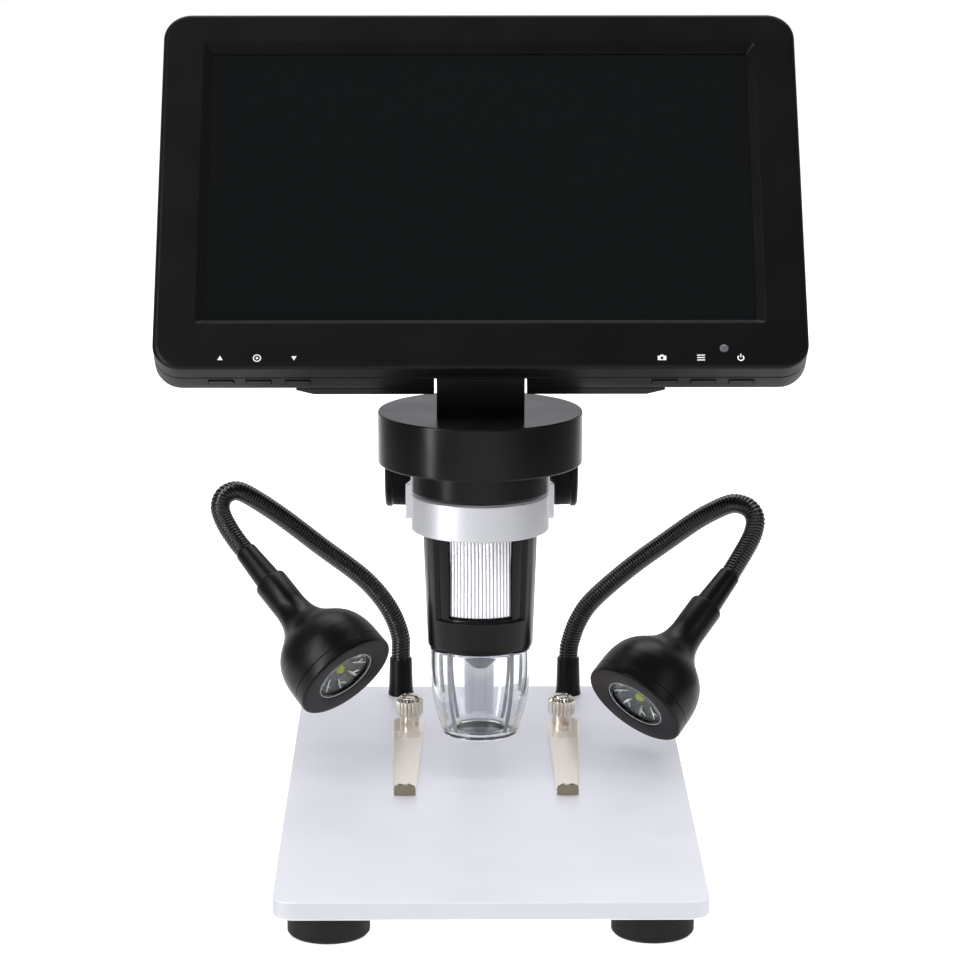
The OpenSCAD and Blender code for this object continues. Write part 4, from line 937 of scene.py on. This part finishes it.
# points of each neck's centre line and of its lamp's face, from where the sleeve meets the plate
bends = {"left": [(0, 0, -3), (0, 0, 12.2), (-0.3, -0.2, 19.7), (-3.9, -1.2, 28.7), (-11.3, -3.4, 38.4),
                  (-24.2, -8.1, 49.7), (-35.7, -13.7, 60.2), (-43.9, -18.1, 67), (-48.7, -20.6, 70.2),
                  (-51.6, -22.2, 70.4), (-53.7, -23.7, 69), (-54.5, -25.2, 66.2), (-53.5, -26.9, 63.1),
                  (-51.3, -29.3, 59.7), (-48.5, -31.8, 56.3), (-46.5, -33.4, 54.4)],
         "right": [(0, 0, -3), (0, 0, 12.2), (0.8, -0.2, 17.8), (3.3, -0.9, 24.7), (7.9, -2.3, 31.6),
                   (18.9, -6.5, 42.6), (30.3, -12.2, 52.7), (38.6, -17.1, 60), (44.4, -20.6, 64.2),
                   (49.1, -23.2, 66.7), (52.8, -25.1, 66.5), (55.1, -26.9, 64.9), (55.9, -28.6, 62.2),
                   (54.9, -30.7, 58.5), (52.6, -33.4, 54.8), (50, -36.1, 51.2), (47.6, -38.4, 48)]}
aims = {"left": (-15.5, -62.3, 23), "right": (17.9, -67.2, 15.8)}


# Catmull-Rom curve through the route's points, u from 0 to 1
def alongRoute(route, u):
    p = np.array(route, float)
    n = len(p) - 1
    t = np.clip(np.asarray(u, float), 0, 0.99999) * n
    i = np.floor(t).astype(int)
    f = (t - i)[:, None]
    a, b, c, d = p[np.maximum(i - 1, 0)], p[i], p[i + 1], p[np.minimum(i + 2, n)]
    square, cube = 2 * a - 5 * b + 4 * c - d, 3 * b - a - 3 * c + d
    return 0.5 * (2 * b + (c - a) * f + square * f ** 2 + cube * f ** 3)


# points at given distances along a route, and its whole length
def atDistance(route, distance):
    u = np.linspace(0, 1, 3000)
    line = alongRoute(route, u)
    length = np.concatenate([[0], np.cumsum(np.linalg.norm(np.diff(line, axis=0), axis=1))])
    return alongRoute(route, np.interp(distance, length, u)), length[-1]


# a neck wound from wire: the radius dips between turns, and the dip runs round as a screw thread does
def gooseneck(route, s0, s1):
    s = np.linspace(s0, s1, int((s1 - s0) / lamp["wire"] * lamp["perTurn"]))
    centre = atDistance(route, s)[0]
    tangent = np.gradient(centre, axis=0)
    tangent /= np.linalg.norm(tangent, axis=1, keepdims=True)
    side = np.cross(tangent, [0, 1, 0.2])
    side /= np.linalg.norm(side, axis=1, keepdims=True)
    up = np.cross(side, tangent)
    a = np.arange(lamp["sides"]) * 2 * math.pi / lamp["sides"]
    phase = s[:, None] / lamp["wire"] + a[None, :] / (2 * math.pi)
    radius = lamp["gooseRadius"] - lamp["wireDepth"] * (1 - np.abs(np.sin(math.pi * phase)) ** 0.8)
    around = np.cos(a)[None, :, None] * side[:, None, :] + np.sin(a)[None, :, None] * up[:, None, :]
    grid = centre[:, None, :] + radius[..., None] * around
    rows, cols = grid.shape[:2]
    quads = gridFaces(rows, cols)
    quads.append(list(range(cols))[::-1])
    quads.append([(rows - 1) * cols + i for i in range(cols)])
    return grid.reshape(-1, 3), quads


# One lamp along its neck's route: two lengths of neck, then the head's parts, all turned about
# the line from the neck's end to the lamp's face.
def makeLamp(word):
    start = np.array([plate["shift"] + (-1 if word == "left" else 1) * sleeve["x"], sleeve["y"],
                      plate["top"]])
    route = start + np.array(bends[word])
    end, face = route[-1], start + np.array(aims[word])
    axis = (face - end) / np.linalg.norm(face - end)
    root, arm, headBody = f"lamp_{word}_root", f"lamp_{word}_arm", f"lamp_{word}_head"
    total = atDistance(route, [0])[1]
    wrist = total - lamp["wristBack"]
    middle = (lamp["knee"] + wrist) / 2

    # bakes the piece's placement into its mesh
    def joint(piece):
        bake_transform(piece)

    lower = newPiece(f"neck_low_{word}", *gooseneck(route, lamp["start"], middle + 0.05), lacqueredWire,
                     None, ["gooseneck_lower_" + word], sharpDegrees=80)
    joint(lower)
    upper = newPiece(f"neck_high_{word}", *gooseneck(route, middle, total), lacqueredWire, None,
                     ["gooseneck_upper_" + word], sharpDegrees=80)
    joint(upper)

    c, cl = lamp["connectorRadius"], lamp["connector"]
    connector = rounded([(0, -0.6, 0), (c - 0.5, -0.6, 0.3), (c, 0.4, 0.4), (c + 0.7, cl + 0.5, 0),
                         (0, cl + 0.5, 0)], steps=4)
    newPiece(f"connector_{word}", *turned(connector, end, axis, around=64, closed=False), lampAbs,
             headBody, ["lamp_connector_" + word])

    s, k, r = cl + lamp["collar"], lamp["collarRadius"], lamp["radius"]
    bell = [(0, cl - 0.2), (k - 0.7, cl - 0.2), (k - 0.15, cl + 0.15), (k, cl + 0.7), (k, s - 1)]
    # the flare runs smoothly through its measured radii
    flare = np.array(lamp["flare"])
    z = np.linspace(0, lamp["bell"], 40)
    smooth = np.interp(z, flare[:, 0], flare[:, 1])
    smooth[1:-1] = np.convolve(smooth, [0.25, 0.5, 0.25], "valid")
    bell += np.stack([r * smooth, s + z], 1).tolist()
    seamZ = s + lamp["bell"]
    bell += [(r - 0.25, seamZ + 0.04), (r - 1.6, seamZ + 0.04), (r - 1.6, seamZ - 3), (2, s + 9),
             (0, s + 9)]
    newPiece(f"bell_{word}", *turned(bell, end, axis, around=128, closed=False), lampAbs, headBody,
             ["lamp_shell_" + word], sharpDegrees=50)

    z0, f, l = seamZ + 0.12, lamp["face"], lamp["lens"]
    front = rounded([(r - 1.8, z0, 0), (r - 0.12, z0, 0.1), (r, z0 + 0.2, 0.1), (r, f - 0.05, 0.7),
                     (l + 0.75, f - 0.35, 0.3), (l + 0.12, f - 0.8, 0.2), (l + 0.1, f - 2.1, 0),
                     (l - 0.8, f - 2.1, 0), (l - 0.8, f - 2.6, 0), (r - 2.2, f - 2.9, 0),
                     (r - 2.2, z0, 0)], closed=True, steps=6)
    newPiece(f"front_{word}", *turned(front, end, axis, around=128), lampAbs, headBody,
             ["lamp_front_" + word])

    # the bowl's wall from its floor to the lens, t from 0 to 1
    def bowlAt(t):
        return (lamp["bowlFloor"] + (l - 3.0) * t ** lamp["bowlPower"],
                f - lamp["bowlDepth"] + (lamp["bowlDepth"] - lamp["bowlTop"]) * t)

    # bowl with eight leaf-shaped facets: the wall swells between them
    bowl = np.stack(bowlAt(np.linspace(0, 1, 14)), 1)

    def petals(turn, radius, height):
        return (radius * (1 - lamp["petal"] * np.abs(np.sin(4 * turn + height * 0.15))
                          * np.clip((f - 1.7 - height) / 3, 0, 1)))

    # the bowl's dark grey and its mottling are painted reflection
    newPiece(f"reflector_{word}", *turned(bowl, end, axis, around=96, closed=False, ripple=petals),
             reflectorDarkMirror, headBody, sharpDegrees=12)
    # pale strips laid on the bowl are painted glints where the facets' edges catch the light: each is a
    # straight arm and one that bends away
    shapes = []
    for k in range(lamp["ridges"]):
        for lowEnd, highEnd, bendBy, wide in lamp["ridgeArms"]:
            t = np.linspace(lowEnd, highEnd, 6)
            wallRadius, wallZ = bowlAt(t)
            a = (k + 0.5) * 2 * math.pi / lamp["ridges"] + bendBy * (t - lowEnd) / (highEnd - lowEnd)
            half = wide * np.sin(np.linspace(0.15, math.pi - 0.15, 6))
            turn = a[:, None] + half[:, None] * np.array([-1, 0, 1])
            lift = lamp["ridgeLift"] + lamp["ridgeHeight"] * np.array([0, 1, 0])
            grid = np.stack([wallRadius[:, None] * np.cos(turn), wallRadius[:, None] * np.sin(turn),
                             wallZ[:, None] + lift], -1)
            shapes.append((grid.reshape(-1, 3), gridFaces(6, 3, closeCols=False)))
    points, faces = joined(*shapes)
    u, v, wAxis = axesAlong(axis)
    points = end + points[:, :1] * u + points[:, 1:2] * v + points[:, 2:] * wAxis
    newPiece(f"ridges_{word}", points, faces, polishedRim, headBody, recalc=False)
    chipZ = f - lamp["chipDepth"]
    chip = rounded([(0, chipZ - 0.6, 0), (1.5, chipZ - 0.6, 0), (1.5, chipZ, 0.2), (1.1, chipZ + 0.1, 0),
                    (1.0, chipZ + 0.5, 0.3), (0, chipZ + 0.6, 0)], steps=3)
    newPiece(f"chip_{word}", *turned(chip, end, axis, around=32, closed=False), phosphor, headBody)
    rim = rounded([(l + 0.02, f - 0.62, 0.03), (l + 0.2, f - 0.62, 0.05), (l + 0.2, f - 0.42, 0.05),
                   (l + 0.02, f - 0.42, 0.05)], closed=True, steps=2)
    newPiece(f"rim_{word}", *turned(rim, end, axis, around=96), polishedRim, headBody)
    # the lens with a raised, rounded rim
    pane = rounded([(0, f - 2.05, 0), (l, f - 2.05, 0.1), (l, f - 0.55, 0.35), (l - 0.9, f - 0.55, 0.35),
                    (l - 1.1, f - 0.95, 0.2), (0, f - 0.8, 0)], steps=4)
    newPiece(f"pane_{word}", *turned(pane, end, axis, around=96, closed=False), coatedCover, headBody,
             ["lamp_lens_" + word])


makeLamp("left")
makeLamp("right")

sleeveProfile = rounded([(sleeve["bore"], sleeve["low"], 0), (sleeve["flange"], sleeve["low"], 0.2),
                         (sleeve["flange"], sleeve["low"] + 1, 0.3),
                         (sleeve["radius"], sleeve["low"] + 1.3, 0.2),
                         (sleeve["top"], sleeve["low"] + sleeve["height"] - 0.1, 0.2),
                         (sleeve["bore"], sleeve["low"] + sleeve["height"] - 0.1, 0.1)], closed=True,
                        steps=3)
sleeves = joined(*[turned(sleeveProfile, (plate["shift"] + s * sleeve["x"], sleeve["y"], 0), around=64)
                   for s in (-1, 1)])
newPiece("sleeves", *sleeves, lampAbs, "base", ["lamp_sleeves"])
print("stage: lamps made")

# Floor, light and camera.

# the paper's distances, in metres
sweep = {"tone": "#fbfbfb", "roughness": 0.8, "glow": 0.42, "table": 0.22, "fadeFrom": 0.16,
         "fadeTo": 0.5, "reach": 3.2}


# White paper that glows a little, so that it stays white without hard light. Reflections see it fade
# to a dark table on both sides, as a sweep of limited width does.
def stageMaterial():
    material, tree = emptyMaterial("paperSweep")
    place = addNode(tree, "ShaderNodeTexCoord").outputs["Object"]
    grain = addNode(tree, "ShaderNodeTexNoise", in0=place, Scale=900.0, Detail=2.0)
    bump = addNode(tree, "ShaderNodeBump", Strength=0.05, Distance=0.0002, Height=grain.outputs[0])
    paper = addNode(tree, "ShaderNodeBsdfPrincipled", Roughness=sweep["roughness"],
                    Normal=bump.outputs[0])
    paper.inputs["Base Color"].default_value = colour(sweep["tone"])
    white = addNode(tree, "ShaderNodeEmission", Color=(1, 1, 1, 1), Strength=sweep["glow"])
    both = addNode(tree, "ShaderNodeAddShader", in0=paper.outputs[0], in1=white.outputs[0])
    table = addNode(tree, "ShaderNodeEmission", Color=(1, 1, 1, 1), Strength=sweep["table"])
    across = addNode(tree, "ShaderNodeSeparateXYZ", in0=place)
    away = addNode(tree, "ShaderNodeMath", {"operation": "ABSOLUTE"}, in0=across.outputs[0])
    edge = addNode(tree, "ShaderNodeMapRange", {"interpolation_type": "SMOOTHSTEP"}, in0=away.outputs[0])
    edge.inputs[1].default_value, edge.inputs[2].default_value = sweep["fadeFrom"], sweep["fadeTo"]
    path = addNode(tree, "ShaderNodeLightPath")
    mirrored = addNode(tree, "ShaderNodeMath", {"operation": "MULTIPLY"}, in0=edge.outputs[0],
                       in1=path.outputs["Is Glossy Ray"])
    seen = addNode(tree, "ShaderNodeMixShader", in0=mirrored.outputs[0], in1=both.outputs[0],
                   in2=table.outputs[0])
    tree.links.new(seen.outputs[0], addNode(tree, "ShaderNodeOutputMaterial").inputs[0])
    return material


floorMesh = bpy.data.meshes.new("floor")
far = sweep["reach"]
floorMesh.from_pydata([(-far, -far, 0), (far, -far, 0), (far, far, 0), (-far, far, 0)], [],
                      [(0, 1, 2, 3)])
floorMesh.materials.append(stageMaterial())
floor = bpy.data.objects.new("floor", floorMesh)
floor.location = (0, 0, -0.00005)
bpy.context.scene.collection.objects.link(floor)


# strengths, and where the wall begins and ends in the reflections (y of their direction)
studio = {"room": 0.6, "card": 1.0, "wall": 0.7, "wallTone": (0.95, 0.94, 1.0, 1), "dim": 0.14,
          "wallFrom": 0.1, "wallTo": 0.7}


# The camera sees a white wall. Reflections see that wall low down behind the object and a dim room
# elsewhere.
def makeWorld():
    world = bpy.data.worlds.new("studio")
    bpy.context.scene.world = world
    world.use_nodes = True
    tree = world.node_tree
    tree.nodes.clear()
    path = addNode(tree, "ShaderNodeLightPath")
    sees = addNode(tree, "ShaderNodeMath", {"operation": "MAXIMUM"}, in0=path.outputs["Is Camera Ray"],
                   in1=path.outputs["Is Transmission Ray"])
    room = addNode(tree, "ShaderNodeBackground", Color=(1, 1, 1, 1), Strength=studio["room"])
    card = addNode(tree, "ShaderNodeBackground", Color=(1, 1, 1, 1), Strength=studio["card"])
    wall = addNode(tree, "ShaderNodeBackground", Color=studio["wallTone"], Strength=studio["wall"])
    dim = addNode(tree, "ShaderNodeBackground", Color=(1, 1, 1, 1), Strength=studio["dim"])
    direction = addNode(tree, "ShaderNodeTexCoord").outputs["Generated"]
    way = addNode(tree, "ShaderNodeSeparateXYZ", in0=direction)
    behind = addNode(tree, "ShaderNodeMapRange", {"interpolation_type": "SMOOTHSTEP"}, in0=way.outputs[1])
    behind.inputs[1].default_value, behind.inputs[2].default_value = studio["wallFrom"], studio["wallTo"]
    mirror = addNode(tree, "ShaderNodeMixShader", in0=behind.outputs[0], in1=dim.outputs[0],
                     in2=wall.outputs[0])
    first = addNode(tree, "ShaderNodeMixShader", in0=path.outputs["Is Glossy Ray"], in1=room.outputs[0],
                    in2=mirror.outputs[0])
    second = addNode(tree, "ShaderNodeMixShader", in0=sees.outputs[0], in1=first.outputs[0],
                     in2=card.outputs[0])
    tree.links.new(second.outputs[0], addNode(tree, "ShaderNodeOutputWorld").inputs[0])


makeWorld()


# a rectangular lamp at a place, turned to its target; sizes in metres
def areaLight(name, place, target, size, power):
    data = bpy.data.lights.new(name, "AREA")
    data.shape = "RECTANGLE"
    data.size, data.size_y = size
    data.energy = power
    light = bpy.data.objects.new(name, data)
    light.location = place
    light.rotation_euler = (Vector(target) - Vector(place)).to_track_quat("-Z", "Y").to_euler()
    bpy.context.scene.collection.objects.link(light)
    return light


# each light's place, target, size and power
lights = {"strip": ((-0.42, -0.27, 0.46), (0, -0.01, 0.46), (0.06, 0.9), 4.0),
          "fill": ((0.95, -0.6, 0.6), (0, 0, 0.12), (0.3, 0.8), 1.5),
          "back": ((0.0, 0.55, 1.25), (0, 0, 0.1), (1.0, 0.8), 9.0),
          "front": ((-0.2, -1.3, 1.2), (0, 0, 0.1), (0.5, 0.4), 1.6),
          "soft": ((-0.1, -0.4, 1.4), (0, 0, 0), (1.4, 0.7), 7.0)}
for name, (place, target, size, power) in lights.items():
    lit = areaLight(name, place, target, size, power)
    # the strip only reflects down the black parts, and the soft light only lights
    lit.visible_diffuse = name != "strip"
    lit.visible_glossy = name != "soft"
    # the back light throws no shadow, so that the plate stays even under the lamps
    lit.data.use_shadow = name != "back"

view = {"place": (-7.6, -1001.75, 318.92), "pitch": 12.164, "yaw": -0.426, "lens": 135.0, "sensor": 36.0}
camera = bpy.data.objects.new("camera", bpy.data.cameras.new("camera"))
camera.location = Vector(view["place"]) * mm
camera.rotation_euler = (math.radians(90 - view["pitch"]), 0, math.radians(view["yaw"]))
camera.data.lens = view["lens"]
camera.data.sensor_width = view["sensor"]
camera.data.clip_start, camera.data.clip_end = 0.01, 20
bpy.context.scene.collection.objects.link(camera)
bpy.context.scene.camera = camera
bpy.context.scene.view_settings.view_transform = "Standard"
print("stage: floor, light and camera made")
